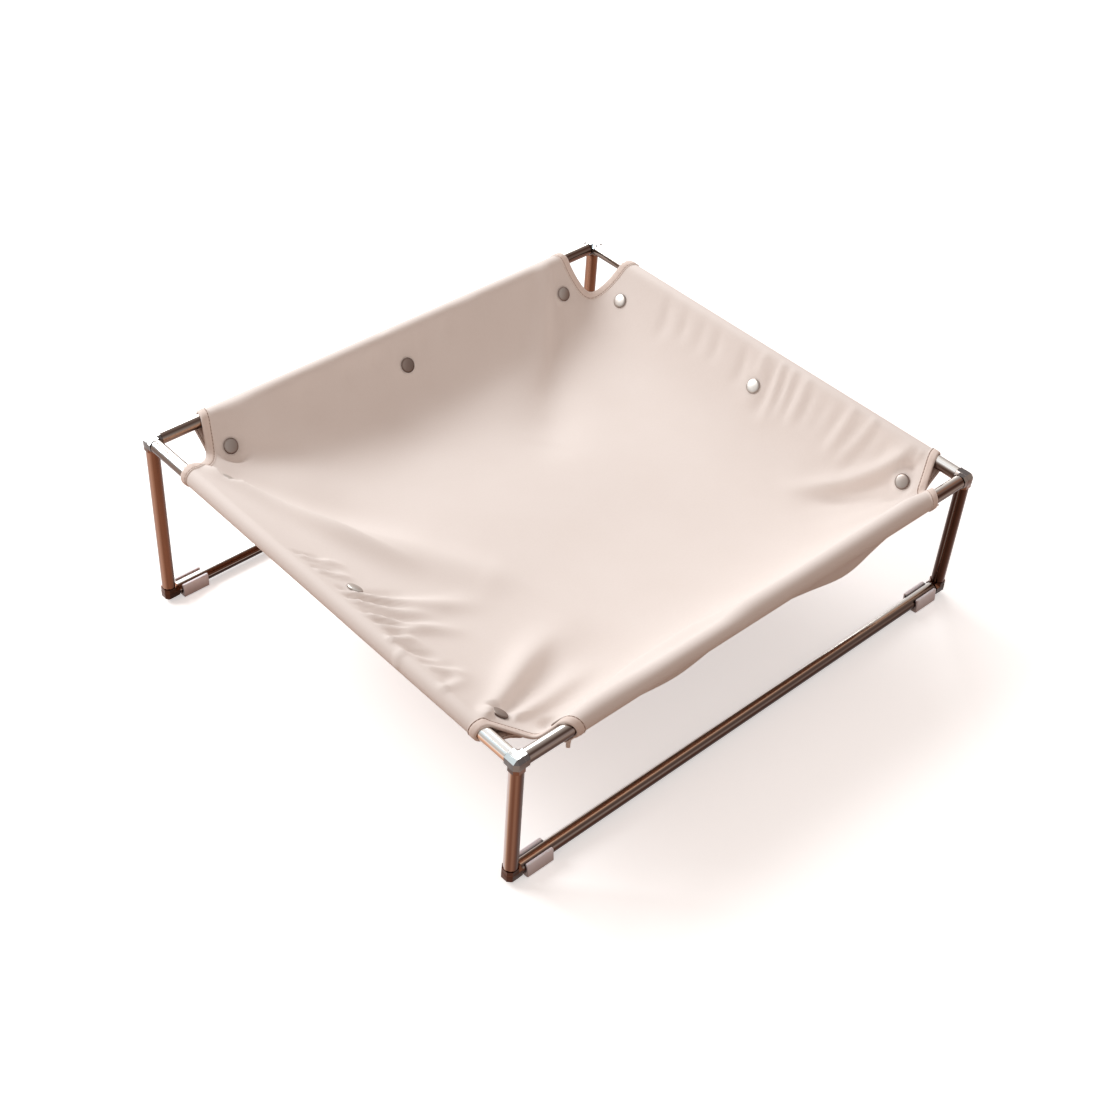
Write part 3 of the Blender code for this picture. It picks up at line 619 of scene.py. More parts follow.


# Painted reflections: bands of light, dark and brown round each tube, at its start and at its end.
painted_reflection_bands = {
    "front_rail_metal": (0.14, [
        (0.00, silver), (0.03, grey), (0.06, ash), (0.092, dark_brown), (0.115, dark_brown),
        (0.147, (0.25, 0.185, 0.165)), (0.178, ash), (0.209, taupe), (0.25, deep_brown),
        (0.36, deep_brown), (0.50, leg_brown), (0.80, taupe), (0.868, taupe), (0.895, silver),
        (0.92, bright), (0.965, bright), (1.0, silver),
    ], [
        (0.00, grey), (0.058, leg_warm), (0.09, taupe), (0.120, deep_brown), (0.14, deep_brown),
        (0.18, taupe), (0.209, ash), (0.24, leg_dark), (0.30, deep_brown), (0.50, leg_dark),
        (0.80, taupe), (0.868, ash), (0.90, silver), (0.945, cream), (1.0, grey),
    ]),
    "rear_rail_metal": (0.14, [
        (0.00, bright), (0.022, cream), (0.045, ash), (0.085, taupe), (0.123, dark_brown), (0.17, ash),
        (0.23, copper), (0.27, taupe), (0.33, leg_brown), (0.50, leg_brown), (0.80, taupe),
        (0.875, taupe), (0.90, cream), (0.95, bright), (1.0, bright),
    ], [
        (0.00, silver), (0.035, ash), (0.107, deep_brown), (0.163, taupe), (0.21, taupe),
        (0.25, leg_dark), (0.33, leg_brown), (0.50, leg_dark), (0.80, taupe), (0.875, taupe),
        (0.90, cream), (0.94, bright), (0.98, bright), (1.0, silver),
    ]),
    "left_rail_metal": (0.14, [
        (0.00, bright), (0.07, cream), (0.104, silver), (0.125, taupe), (0.25, taupe), (0.50, leg_brown),
        (0.64, copper), (0.70, copper), (0.735, (0.36, 0.18, 0.11)), (0.785, (0.60, 0.34, 0.21)),
        (0.819, silver), (0.853, silver), (0.893, cool), (0.93, cream), (0.96, bright), (1.0, bright),
    ], [
        (0.00, cream), (0.07, cream), (0.104, grey), (0.125, taupe), (0.25, taupe), (0.50, leg_dark),
        (0.64, deep_brown), (0.74, deep_brown), (0.775, dark_brown), (0.805, taupe), (0.83, ash),
        (0.855, grey), (0.88, cool), (0.92, cream), (0.96, silver), (1.0, cream),
    ]),
    "right_rail_metal": (0.14, [
        (0.00, silver), (0.045, grey), (0.09, ash), (0.125, taupe), (0.25, taupe), (0.50, leg_dark),
        (0.64, leg_brown), (0.70, leg_brown), (0.734, ash), (0.765, taupe), (0.795, dark_brown),
        (0.83, taupe), (0.853, grey), (0.885, bright), (0.93, bright), (0.965, cream), (1.0, silver),
    ], [
        (0.00, bright), (0.07, cream), (0.104, silver), (0.125, taupe), (0.25, taupe), (0.50, leg_dark),
        (0.64, dark_brown), (0.72, taupe), (0.76, ash), (0.80, grey), (0.836, cream), (0.88, bright),
        (0.905, silver), (0.925, bright), (1.0, bright),
    ]),
    "front_floor_metal": (0.15, [
        (0.00, copper), (0.010, warm_copper), (0.040, warm_copper), (0.060, copper), (0.078, taupe),
        (0.100, dark_brown), (0.125, dark_brown), (0.150, (0.23, 0.175, 0.15)), (0.175, taupe),
        (0.200, leg_dark), (0.235, deep_brown), (0.30, near_black), (0.50, leg_dark), (0.85, silver),
        (0.90, silver), (0.95, silver), (0.98, grey), (1.0, copper),
    ], [
        (0.00, grey), (0.02, copper), (0.045, copper), (0.07, taupe), (0.100, dark_brown),
        (0.125, dark_brown), (0.150, taupe), (0.175, dark_brown), (0.200, deep_brown),
        (0.235, near_black), (0.50, leg_dark), (0.85, ash), (0.90, bright), (0.94, silver), (1.0, grey),
    ]),
    "rear_floor_metal": (0.15, [
        (0.00, bright), (0.035, bright), (0.050, grey), (0.072, ash), (0.110, leg_warm),
        (0.160, leg_brown), (0.190, deep_brown), (0.205, near_black), (0.215, grey), (0.225, near_black),
        (0.50, deep_brown), (0.85, leg_brown), (0.885, leg_warm), (0.915, cream), (0.95, bright),
        (1.0, bright),
    ]),
    "near_leg_metal": (0.17, [
        (0.00, leg_brown), (0.20, leg_dark), (0.26, leg_pale), (0.345, leg_pale), (0.375, copper),
        (0.40, leg_warm), (0.445, leg_brown), (0.47, leg_brown), (0.51, leg_warm), (0.555, leg_brown),
        (0.60, leg_dark), (0.74, deep_brown), (0.80, leg_brown), (1.0, leg_brown),
    ]),
    "far_leg_metal": (0.17, [
        (0.00, leg_brown), (0.20, leg_dark), (0.27, leg_brown), (0.35, leg_warm),
        (0.42, (0.28, 0.145, 0.095)), (0.50, leg_brown), (0.62, (0.125, 0.045, 0.023)), (0.72, leg_dark),
        (0.80, leg_dark), (1.0, leg_brown),
    ]),
    "right_leg_metal": (0.17, [
        (0.00, leg_brown), (0.20, deep_brown), (0.32, deep_brown), (0.345, near_black), (0.37, leg_dark),
        (0.39, ash), (0.41, leg_dark), (0.45, near_black), (0.52, deep_brown), (0.62, leg_dark),
        (0.70, leg_brown), (0.76, leg_dark), (1.0, leg_brown),
    ]),
}
tube_metals = {name: tube_metal(name, *bands) for name, bands in painted_reflection_bands.items()}
print("tube metals:", len(tube_metals))

# %% Fitting, snap and foot finishes
cast_clouds = (0.72, 1.25)
cast_bump = (0.10, 0.00008)


def cast_metal(name, stops, roughness, grain_scale):
    """Plated casting: its facets take a painted reflection and shade from the way they face, stored in the UV
    map's v.
    """
    material, tree, shader = new_material(name)
    tone = add_ramp(tree, split_vector(tree, coordinates(tree, "UV"))["Y"], stops)
    specks = add_group(tree, grain, Vector=coordinates(tree, "Object"), Scale=grain_scale).outputs
    clouds = add_range(tree, specks["Cloud"], *cast_clouds)
    tree.links.new(add_product(tree, tone, clouds), shader.inputs["Base Color"])
    add_roughness(tree, shader, specks["Grain"], roughness * 0.7, roughness * 1.5)
    shader.inputs["Metallic"].default_value = 1.0
    add_bump(tree, shader, specks["Grain"], *cast_bump)
    return material


# Painted reflection and shade by facing: pale cyan towards the window, dark at the sides, brown towards the
# floor.
fitting_metal = cast_metal("fitting_metal", [
    (0.00, (0.56, 0.66, 0.69)), (0.13, (0.56, 0.66, 0.69)), (0.16, (0.70, 0.70, 0.69)),
    (0.20, (0.66, 0.65, 0.63)),
    (0.25, grey), (0.31, (0.13, 0.11, 0.105)), (0.42, (0.085, 0.070, 0.066)), (0.50, ash), (0.58, taupe),
    (0.68, dark_brown), (0.80, leg_brown), (1.0, leg_brown),
], 0.14, 500.0)
elbow_metal = cast_metal("elbow_metal", [
    (0.00, grey), (0.14, leg_warm), (0.24, leg_brown), (0.50, leg_brown), (0.75, leg_dark), (1.0, near_black),
], 0.16, 500.0)
snap_metal = cast_metal("snap_metal", [
    (0.00, (0.80, 0.77, 0.73)), (0.25, (0.62, 0.58, 0.54)), (0.50, (0.32, 0.27, 0.24)),
    (0.75, (0.165, 0.115, 0.095)), (1.0, (0.070, 0.045, 0.036)),
], 0.30, 900.0)


def plastic(name, color, deep):
    """Satin moulded plastic that lets a little light in, darker towards the floor as painted shade."""
    material, tree, shader = new_material(name)
    place = coordinates(tree, "Object")
    specks = add_group(tree, grain, Vector=place, Scale=700.0).outputs
    # Painted shade: the colour deepens towards the floor.
    rise = add_math(tree, "DIVIDE", split_vector(tree, place)["Z"], foot_shade_height)
    height = add_math(tree, "MULTIPLY_ADD", specks["Cloud"], 0.2, rise)
    tree.links.new(add_ramp(tree, height, [(0.25, deep), (1.0, color)]), shader.inputs["Base Color"])
    add_roughness(tree, shader, specks["Grain"], 0.30, 0.50)
    shader.inputs["Subsurface Weight"].default_value = 0.15
    shader.inputs["Subsurface Radius"].default_value = (0.004, 0.003, 0.003)
    shader.inputs["Subsurface Scale"].default_value = 1.0
    add_bump(tree, shader, specks["Grain"], 0.18, 0.0001)
    return material


foot_shade_height = 0.0150
foot_plastic = plastic("foot_plastic", (0.90, 0.86, 0.91), (0.56, 0.46, 0.45))
print("castings and mouldings:", fitting_metal.name, snap_metal.name, foot_plastic.name)

# %% Cloth and tape


def cloth(name, light, deep, pitch, weave_height, sheen, band=None):
    """Matt woven cloth in a real thread scale; band is (run, stops) for painted shade in the stitched groove
    and a painted highlight on the lip across a folded tape.
    """
    material, tree, shader = new_material(name)
    threads = add_group(
        tree, woven, Vector=coordinates(tree, "UV"), Thread_Pitch=pitch, Light=(*light, 1), Deep=(*deep, 1)
    )
    color = threads.outputs["Color"]
    if band:
        run, stops = band
        from_edge = add_math(tree, "PINGPONG", split_vector(tree, coordinates(tree, "UV"))["Y"], run / 2)
        color = add_product(tree, color, add_ramp(tree, add_math(tree, "DIVIDE", from_edge, run / 2), stops))
    tree.links.new(color, shader.inputs["Base Color"])
    add_roughness(tree, shader, threads.outputs["Cloud"], 0.74, 0.92)
    shader.inputs["Specular IOR Level"].default_value = 0.3
    shader.inputs["Sheen Weight"].default_value = sheen
    shader.inputs["Sheen Roughness"].default_value = 0.5
    shader.inputs["Sheen Tint"].default_value = (1.0, 0.95, 0.93, 1)
    add_bump(tree, shader, threads.outputs["Height"], 0.35, weave_height)
    return material


sling_cloth = cloth("sling_cloth", (0.89, 0.835, 0.80), (0.82, 0.75, 0.705), 0.0007, 0.00006, 0.12)
thread_cloth = cloth("stitch_thread", (0.88, 0.80, 0.74), (0.74, 0.64, 0.57), 0.0004, 0.00005, 0.1)
print("cloths:", sling_cloth.name, thread_cloth.name)

# %% [markdown]
# ## Tubes
#
# Ten straight tubes, half an inch across. A tube is a profile turned round an axis: out over the rolled
# end, along the wall, and back down the bore. Each one takes its axis and length from its rigid node.
# The start of the turn points up on a rail, so v = 0 is the top line of the tube. From there v grows to 1
# round by the front on a cross rail, and round by the right on a side rail.

# %% Tubes
tube_radius = 0.00635
tube_bore = 0.00555
tube_edge = 0.0003
tube_sides = 64
upward = np.array([0.0, 0.0, 1.0])
leg_start = np.array([0.64, 0.77, 0.0])


def tube(name, node, metal, start):
    """One tube along its node's longest extent, with the turn started towards start."""
    low, high = own_box(node)
    extent = high - low
    way = int(np.argmax(extent))
    axis = np.eye(3)[way]
    half = extent[way] / 2
    side = np.cross(axis, start)
    profile = [
        (tube_bore, -half + tube_edge), (tube_bore + tube_edge, -half), (tube_radius - tube_edge, -half),
        (tube_radius, -half + tube_edge), (tube_radius, half - tube_edge), (tube_radius - tube_edge, half),
        (tube_bore + tube_edge, half), (tube_bore, half - tube_edge),
    ]
    axes = [axis_part @ lean_turn.T for axis_part in (start, side, axis)]
    mesh = turned_mesh(name, profile, tube_sides, to_world((low + high) / 2), axes)
    piece = make_piece(name, mesh, tube_metals[metal], root_body)
    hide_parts(node)
    return piece


tube_finishes = {
    "rail_tube_front": ("top_rail_front", "front_rail_metal", upward),
    "rail_tube_rear": ("top_rail_rear", "rear_rail_metal", upward),
    "rail_tube_left": ("top_rail_left", "left_rail_metal", upward),
    "rail_tube_right": ("top_rail_right", "right_rail_metal", upward),
    "floor_tube_front": ("bottom_rail_front", "front_floor_metal", upward),
    "floor_tube_rear": ("bottom_rail_rear", "rear_floor_metal", upward),
    "leg_tube_front_left": ("leg_front_left", "near_leg_metal", leg_start),
    "leg_tube_front_right": ("leg_front_right", "right_leg_metal", leg_start),
    "leg_tube_rear_left": ("leg_rear_left", "far_leg_metal", leg_start),
    "leg_tube_rear_right": ("leg_rear_right", "far_leg_metal", leg_start),
}
tubes = [tube(name, *finish) for name, finish in tube_finishes.items()]
print("tubes:", len(tubes))

# %% [markdown]
# ## Fittings
#
# The corner fittings and elbows are castings with flat facets. The rigid nodes have the right facets, but
# knife edges, and real plating shows as a bright line on every softened edge. So each one is a copy of its
# node: merged, its flat faces joined again, and its edges rounded by a Bevel modifier. How far each facet
# faces away from the window is kept as v in a UV map, from which the finish paints reflection and shade:
# light towards the window, dark and brown away from it. Collars over the legs count as farther away, as a
# painted reflection of the floor.

# %% Fittings
casting_merge = 1e-5
edge_round = 0.00035
edge_steps = 2
flat_angle = 1.0
bevel_angle = 25.0
# The window's direction, the collars' shift and each corner's shift set the painted reflection and shade of
# the fittings.
window_way = np.array([-0.45, 0.25, 0.86])
collar_shift = 0.34
collar_top = 0.003
corner_shade = {"front_left": 0.0, "front_right": 0.12, "rear_left": 0.03, "rear_right": -0.04}


def facing_uv(mesh, middle, shade):
    """v is each face's angle from the window's direction as a share of half a turn, and u its bearing.

    shade makes the whole casting's painted reflection darker, as where it mirrors a darker part of the room.
    """
    normals = read_array(mesh.polygons, "normal", 3)
    centres = (read_array(mesh.polygons, "center", 3) - middle) @ lean_turn
    sizes = read_array(mesh.polygons, "loop_total", kind=int)
    away = np.arccos(np.clip(normals @ window_way / np.linalg.norm(window_way), -1, 1)) / np.pi
    on_leg = (centres[:, 2] < -collar_top) & (np.abs(normals[:, 2]) < 0.5)
    away = np.clip(away + shade + collar_shift * on_leg, 0.001, 0.999)
    bearing = np.arctan2(normals[:, 1], normals[:, 0]) / (2 * np.pi)
    uv = np.repeat(np.stack([bearing, away], axis=1), sizes, axis=0)
    set_uv(mesh.uv_layers.new(name="facing"), uv)


def rounded_copy(name, node, material, middle, shade):
    """A copy of a rigid node with softened edges; middle is where its arms meet."""
    mesh = frame["nodes"][node].data.copy()
    mesh.name = name
    mesh.materials.clear()
    builder = bmesh.new()
    builder.from_mesh(mesh)
    bmesh.ops.remove_doubles(builder, verts=builder.verts, dist=casting_merge)
    bmesh.ops.dissolve_limit(
        builder, angle_limit=math.radians(flat_angle), verts=builder.verts, edges=builder.edges
    )
    builder.to_mesh(mesh)
    builder.free()
    facing_uv(mesh, middle, shade)
    piece = make_piece(name, mesh, material, root_body)
    add_bevel(piece, "softened_edges", edge_round, edge_steps, bevel_angle).harden_normals = True
    mesh.shade_smooth()
    mesh.set_sharp_from_angle(angle=math.radians(sharp_angle))
    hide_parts(node)
    return piece


fittings = []
corner_signs = {"front_left": (-1, -1), "front_right": (1, -1), "rear_left": (-1, 1), "rear_right": (1, 1)}
for corner, (sign_x, sign_y) in corner_signs.items():
    middle = to_world([sign_x * half_x, sign_y * half_y, 0.0])
    for name, node, metal in (("corner", "corner_fitting", fitting_metal), ("elbow", "elbow", elbow_metal)):
        ends = "_" + corner
        fittings.append(rounded_copy("cast_" + name + ends, node + ends, metal, middle, corner_shade[corner]))
print("fittings:", len(fittings))

# %% [markdown]
# ## Feet
#
# Each foot is a short U of soft plastic that snaps over the floor rail: a level pad below, two walls, and a
# round bore that reaches past the tube's widest line so that it grips. It is one outline pushed along
# the rail. The outline is drawn with arcs, and a Bevel modifier rounds its two ends.

# %% Feet
foot_width = 0.0172
foot_corner = 0.0024
foot_top_corner = 0.0009
foot_wall_top = 0.0058
foot_pad = 0.0025
foot_gap = 0.0003
grip_angle = 33.0
foot_end_round = 0.0007
foot_end_steps = 3
foot_end_angle = 60.0
foot_sharp = 40.0


def arc(centre, radius, start, end, count):
    """Points along an arc, angles in degrees, as an array of (y, z)."""
    angle = np.radians(np.linspace(start, end, count))
    return np.stack([centre[0] + radius * np.cos(angle), centre[1] + radius * np.sin(angle)], axis=1)


def foot_outline():
    """Counter-clockwise outline of a clip round its rail's axis."""
    half = foot_width / 2
    bore = tube_radius + foot_gap
    bottom = -(bore + foot_pad)
    low_y = half - foot_corner
    low_z = bottom + foot_corner
    top_y = half - foot_top_corner
    top_z = foot_wall_top - foot_top_corner
    lip = bore * math.cos(math.radians(grip_angle)) + foot_top_corner
    return np.concatenate([
        arc((-low_y, low_z), foot_corner, 180, 270, 8),
        arc((low_y, low_z), foot_corner, 270, 360, 8),
        arc((top_y, top_z), foot_top_corner, 0, 90, 6),
        arc((lip, top_z), foot_top_corner, 90, 150, 4),
        arc((0, 0), bore, grip_angle, -180 - grip_angle, 44),
        arc((-lip, top_z), foot_top_corner, 30, 90, 4),
        arc((-top_y, top_z), foot_top_corner, 90, 180, 6),
    ])


def foot(corner):
    """One clip, pushed along x over its rigid node's length."""
    node = "foot_clip_" + corner
    low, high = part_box(node)
    rail_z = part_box("bottom_rail_front")[0].z + tube_radius
    outline = foot_outline()
    ends = np.array([low.x, high.x])
    points = np.zeros((2, len(outline), 3))
    points[..., 0] = ends[:, None]
    points[..., 1:] = outline + ((low.y + high.y) / 2, rail_z)
    u, v = np.meshgrid(ends, np.arange(len(outline) + 1) * foot_corner, indexing="ij")
    mesh = grid_mesh(node + "_moulding", points, u, v, close_columns=True, caps=True)
    tidy_mesh(mesh, recalculate=True, angle=foot_sharp)
    piece = make_piece("moulded_foot_" + corner, mesh, foot_plastic, corner + "_foot")
    add_bevel(piece, "rounded_ends", foot_end_round, foot_end_steps, foot_end_angle)
    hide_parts(node)
    return piece


feet = [foot(corner) for corner in ("front_left", "front_right", "rear_left", "rear_right")]
print("feet:", len(feet))

# %% [markdown]
# ## The hanging cloth as a function
#
# The sling is worked out as one function of two lengths, u across and v from front to rear. Between the
# rails they are simply x and y, and past a rail's top they go on round the tube. Near a rail the cloth lies
# on the tube, leaves it in a straight line at that wall's own angle and levels out towards the middle.
# The four walls blend into each other, closely beside the rails and softly farther in. Three broad folds
# that spread from the corners are part of this main shape.

# %% Walls
cloth_thickness = 0.0012
cloth_radius = tube_radius + 0.0003 + cloth_thickness / 2
walls = {"front": (60.0, 0.104), "rear": (64.0, 0.108), "left": (39.0, 0.100), "right": (64.0, 0.108)}
side_axes = {
    "front": (np.array([0, -half_y, 0]), np.array([1.0, 0, 0]), np.array([0, 1.0, 0])),
    "rear": (np.array([0, half_y, 0]), np.array([-1.0, 0, 0]), np.array([0, -1.0, 0])),
    "left": (np.array([-half_x, 0, 0]), np.array([0, -1.0, 0]), np.array([1.0, 0, 0])),
    "right": (np.array([half_x, 0, 0]), np.array([0, 1.0, 0]), np.array([-1.0, 0, 0])),
}
tiny = 1e-9


def wall_drop(side, inset):
    """How far the cloth is under the rail's top line: a circle on the tube, then a levelling slope."""
    angle = math.radians(walls[side][0])
    depth = walls[side][1]
    leave = cloth_radius * math.sin(angle)
    on_tube = cloth_radius - np.sqrt(np.maximum(cloth_radius**2 - np.minimum(inset, leave) ** 2, 0))
    fall = np.maximum(inset - leave, 0) * math.tan(angle) / depth
    return on_tube + depth * (1 - np.exp(-fall))


def smooth(value, start, end):
    """0 before start, 1 after end, and an S-shaped rise between them."""
    share = np.clip((value - start) / (end - start), 0, 1)
    return share * share * (3 - 2 * share)


# %% Snap places and hollows
mm = 0.001
snap_reach = 0.0325
snap_land = 0.0082
snap_end_room = 0.0155
inset_tries = 4000
bite_radius = 0.085
bare_tube = {
    "front_left": (0.0521, 0.0388), "front_right": (0.0457, 0.0335),
    "rear_left": (0.0521, 0.0575), "rear_right": (0.0457, 0.0525),
}


def bite_centre(corner):
    """Centre of a hollow: the circle through both sleeve ends, whose middle lies out past the corner."""
    signs = np.array(corner_signs[corner])
    place = signs * (half_x, half_y)
    bare_x, bare_y = bare_tube[corner]
    end_x = place - (signs[0] * bare_x, 0)
    end_y = place - (0, signs[1] * bare_y)
    half_chord = (end_y - end_x) / 2
    out = signs * np.abs(half_chord[::-1]) / np.hypot(*half_chord)
    return (end_x + end_y) / 2 + out * math.sqrt(bite_radius**2 - half_chord @ half_chord)


bite_centres = {corner: bite_centre(corner) for corner in corner_signs}


def wall_height(side, inset):
    """Height of the cloth over the rail axes, beside one wall alone."""
    return cloth_radius - wall_drop(side, np.asarray(inset, float))


def wall_slope(side, inset, gap):
    """How steeply a wall rises at an inset, from its heights a gap away on both sides."""
    return (wall_height(side, inset + gap) - wall_height(side, inset - gap)) / (2 * gap)


def snap_inset(side):
    """How far in a snap lies: where the straight reach from the rail's axis meets the wall."""
    insets = np.linspace(cloth_radius, snap_reach, inset_tries)
    reach = np.hypot(insets, wall_height(side, insets))
    return float(np.interp(snap_reach, reach, insets))


def sleeve_span(side, out):
    """Start and end of the sleeve along the rail, measured out from the rail's axis."""
    middle, along, inward = side_axes[side]
    reaches = []
    for centre in bite_centres.values():
        place = np.array([*centre, 0]) - middle
        offset = abs(place @ inward + out)
        if offset < bite_radius:
            half_chord = math.sqrt(bite_radius**2 - offset**2)
            at = place @ along
            reaches.append(at - math.copysign(half_chord, at))
    return min(reaches), max(reaches)


def snap_stations(side):
    """The three snap places along a side's rail."""
    start, end = sleeve_span(side, 0.0)
    return [start + snap_end_room, (start + end) / 2, end - snap_end_room]


def side_point(side, station, inset, height):
    """A place beside one rail as a top-frame place."""
    middle, along, inward = side_axes[side]
    station, inset, height = np.broadcast_arrays(station, inset, height)
    return middle + station[..., None] * along + inset[..., None] * inward + height[..., None] * upward


snap_spots = []
land_end = {}
for side in side_axes:
    inset = snap_inset(side)
    for station in snap_stations(side):
        snap_spots.append((side, side_point(side, station, inset, wall_height(side, inset))))
    land_end[side] = inset + snap_land / math.hypot(1.0, wall_slope(side, inset, mm))
print("snap insets in mm:", {side: round(1000 * snap_inset(side), 2) for side in side_axes})

# %% [markdown]
# ## Folds
#
# Cloth pulled tight between a few points wrinkles along the lines of pull. Each fold is one soft ridge or
# valley along a line: a bell curve across it that gets broader from its start to its end, and that fades
# in at the start and out at the end. The table holds the folds that the sling shows, side by side: where
# each starts and ends on the cloth, how high it stands (a valley is negative), and how broad it is at its
# start and at its end. All are in millimetres. A last number, where there is one, is the share of its
# width that the fold keeps on the left of its run, or on the right if the number is negative, which gives
# the crisp crests of tightly pulled cloth. Along the front rail the cloth stands on a slack shelf before it
# drops, which is a bell of its own.

# %% Fold table
folds_mm = [
    # start, end, height, widths: the long pull from the rear left sleeve end, and the hollow behind it
    ((-262, 200), (-158, 6), 8.5, 8, 24, 0.35),
    ((-236, 206), (-128, 44), -6.0, 12, 34),
    ((-202, 246), (-95, 190), 3.0, 7, 22),
    # dimples and crisp pleats beside the middle snap of the left rail
    ((-266, 41), (-220, 29), 2.8, 3.0, 6),
    ((-266, 46), (-236, 37), -2.8, 2.6, 5),
    ((-264, 18), (-228, 8), 2.8, 3.0, 6),
    ((-264, 23), (-236, 15), -2.6, 2.4, 5),
    ((-266, -17), (-130, -58), 4.8, 3.2, 15),
    ((-264, -10), (-190, -24), -2.4, 2.6, 8),
    ((-268, -30), (-180, -60), 3.6, 3.0, 10),
    ((-267, -24), (-205, -44), -2.8, 2.4, 7),
    ((-270, -52), (-175, -84), 3.8, 3.0, 11),
    ((-269, -46), (-205, -66), -3.0, 2.4, 7),
    ((-268, -69), (-210, -76), 3.0, 2.8, 7),
    ((-268, -64), (-222, -69), -2.4, 2.3, 6),
    ((-273, -92), (-236, -84), 3.6, 3.0, 7),
    ((-271, -86), (-242, -78), -2.8, 2.4, 6),
    ((-286, -113), (-260, -103), 1.7, 2.2, 4.5, 0.6),
    ((-270, -101), (-232, -113), -3.6, 2.6, 8),
    ((-267, -122), (-222, -128), -2.2, 2.8, 7),
    ((-266, -130), (-220, -136), 2.2, 4.0, 9),
    ((-276, -163), (-228, -138), 2.2, 3.6, 9),
    ((-270, -156), (-238, -136), -2.2, 2.8, 7),
    ((-270, -162), (-263, -196), -1.8, 2.0, 4),
    # broad folds that spread from the front snap of the left rail
    ((-272, -205), (-112, -114), 7.0, 5, 22, -0.5),
    ((-248, -193), (-104, -138), -5.0, 5, 19),
    ((-242, -204), (-112, -170), 4.5, 5, 19, -0.6),
    # the soft fold below the rear right corner, and the swell beside it
    ((212, 240), (108, 128), -3.5, 7, 18),
    ((204, 246), (118, 158), 5.5, 7, 20),
    # slow waves of the rear wall, and small dents under its rail
    ((-30, 246), (-40, 120), -3.5, 34, 48),
    ((-190, 246), (-150, 130), 3.0, 26, 40),
    ((110, 246), (84, 120), 3.0, 26, 40),
    ((-60, 249), (-66, 226), -2.0, 5, 9),
    ((-26, 249), (-30, 226), -1.8, 4, 8),
    ((-8, 249), (-6, 218), 1.8, 5, 12),
    ((28, 249), (24, 224), -2.2, 5, 9),
    ((66, 249), (58, 228), -2.0, 5, 10),
    ((120, 249), (108, 226), -1.6, 6, 12),
    ((-112, 249), (-112, 214), -2.4, 9, 20),
    # gathers along the right rail
    ((270, 128), (242, 112), -1.9, 4, 9),
    ((270, 101), (247, 91), -1.6, 3.5, 7),
    ((270, 76), (246, 68), -1.1, 4, 8),
    ((270, 55), (247, 46), -1.6, 3.5, 7),
    ((270, 18), (243, 8), -1.9, 3.5, 8),
    ((270, -6), (236, -12), 1.6, 4, 9),
    ((270, -20), (234, -30), -2.2, 3.2, 8),
    ((270, -28), (230, -40), 1.8, 3.2, 8),
    ((270, -35), (238, -45), -1.9, 3.0, 7),
    ((270, -43), (236, -51), 1.6, 3.0, 7),
    ((270, -50), (238, -56), -1.8, 3.0, 7),
    ((270, -62), (240, -64), 1.5, 4, 8),
    ((270, -72), (242, -74), -1.5, 3.5, 7),
    ((270, -92), (242, -88), -1.2, 5, 9),
    ((270, -110), (238, -106), -1.9, 4, 9),
    ((270, -122), (236, -112), 1.6, 4, 9),
    ((271, -138), (234, -120), -1.9, 4, 9),
    ((271, -148), (230, -124), 1.8, 4, 10),
    ((272, -158), (232, -134), -1.8, 4, 9),
    # pulls from the front right sleeve end towards the middle
    ((266, -197), (196, -100), 6.5, 4.5, 18, 0.55),
    ((266, -209), (190, -122), -6.0, 4.5, 15),
    ((268, -206), (240, -178), 2.2, 3, 7, 0.6),
    ((260, -222), (165, -170), 3.5, 6, 18),
    ((262, -176), (206, -96), -3.0, 5, 14),
    # where use has stretched the middle
    ((-90, -60), (130, -20), -2.5, 60, 70),
]
fold_fade_in = (-0.02, 0.12)
fold_fade_out = (0.58, 1.05)


def fold_field(u, v):
    """Sum of all folds at (u, v): height x bell across x fade along, in metres."""
    total = np.zeros(np.broadcast(u, v).shape)
    for start, end, height, width_start, width_end, *steep in folds_mm:
        start = np.array(start) * mm
        run = np.array(end) * mm - start
        length = math.hypot(*run)
        share = ((u - start[0]) * run[0] + (v - start[1]) * run[1]) / length**2
        near = np.clip(share, 0, 1)
        away = np.hypot(u - start[0] - near * run[0], v - start[1] - near * run[1])
        width = (width_start + (width_end - width_start) * near) * mm
        if steep:
            on_left = run[0] * (v - start[1]) > run[1] * (u - start[0])
            width = width * np.where(on_left == (steep[0] > 0), abs(steep[0]), 1.0)
        along = smooth(share, *fold_fade_in) * (1 - smooth(share, *fold_fade_out))
        total = total + height * mm * np.exp(-((away / width) ** 2)) * along
    return total


shelf_stations = np.array([-226, -190, -120, -49, -12, 40, 120, 200, 230]) * mm
shelf_heights = np.array([0, 5.5, 11.0, 11.0, 6.0, 4.5, 5.0, 5.0, 0]) * mm
shelf_insets = np.array([10, 14, 22, 24, 12, 10, 11, 10, 9]) * mm
shelf_rail_width = 0.012
shelf_inner_width = 0.0075


def front_shelf(u, v):
    """Slack beside the front rail: a bell across, its height and its distance in read off tables."""
    height = np.interp(u, shelf_stations, shelf_heights)
    away = v + half_y - np.interp(u, shelf_stations, shelf_insets)
    width = np.where(away > 0, shelf_inner_width, shelf_rail_width)
    return height * np.exp(-((away / width) ** 2))


print("folds:", len(folds_mm))

# %% Sheet function
calm_radius = 0.0075
calm_fade = 0.0065
pull_radius = 0.0085
pull_fade = 0.012
tube_swell = 0.0003
tube_clear = (0.004, 0.014)
far_power = 5.0
near_power = 6.5
calm_width = 0.030
fold_end_share = 0.15
main_folds = [
    # start and end as shares of the half spans, height, width
    ((-0.96, 0.70), (-0.42, -0.10), 0.012, 0.028),
    ((0.76, 0.90), (0.28, 0.38), -0.008, 0.028),
    ((-0.92, -0.76), (-0.38, -0.48), 0.005, 0.022),
]


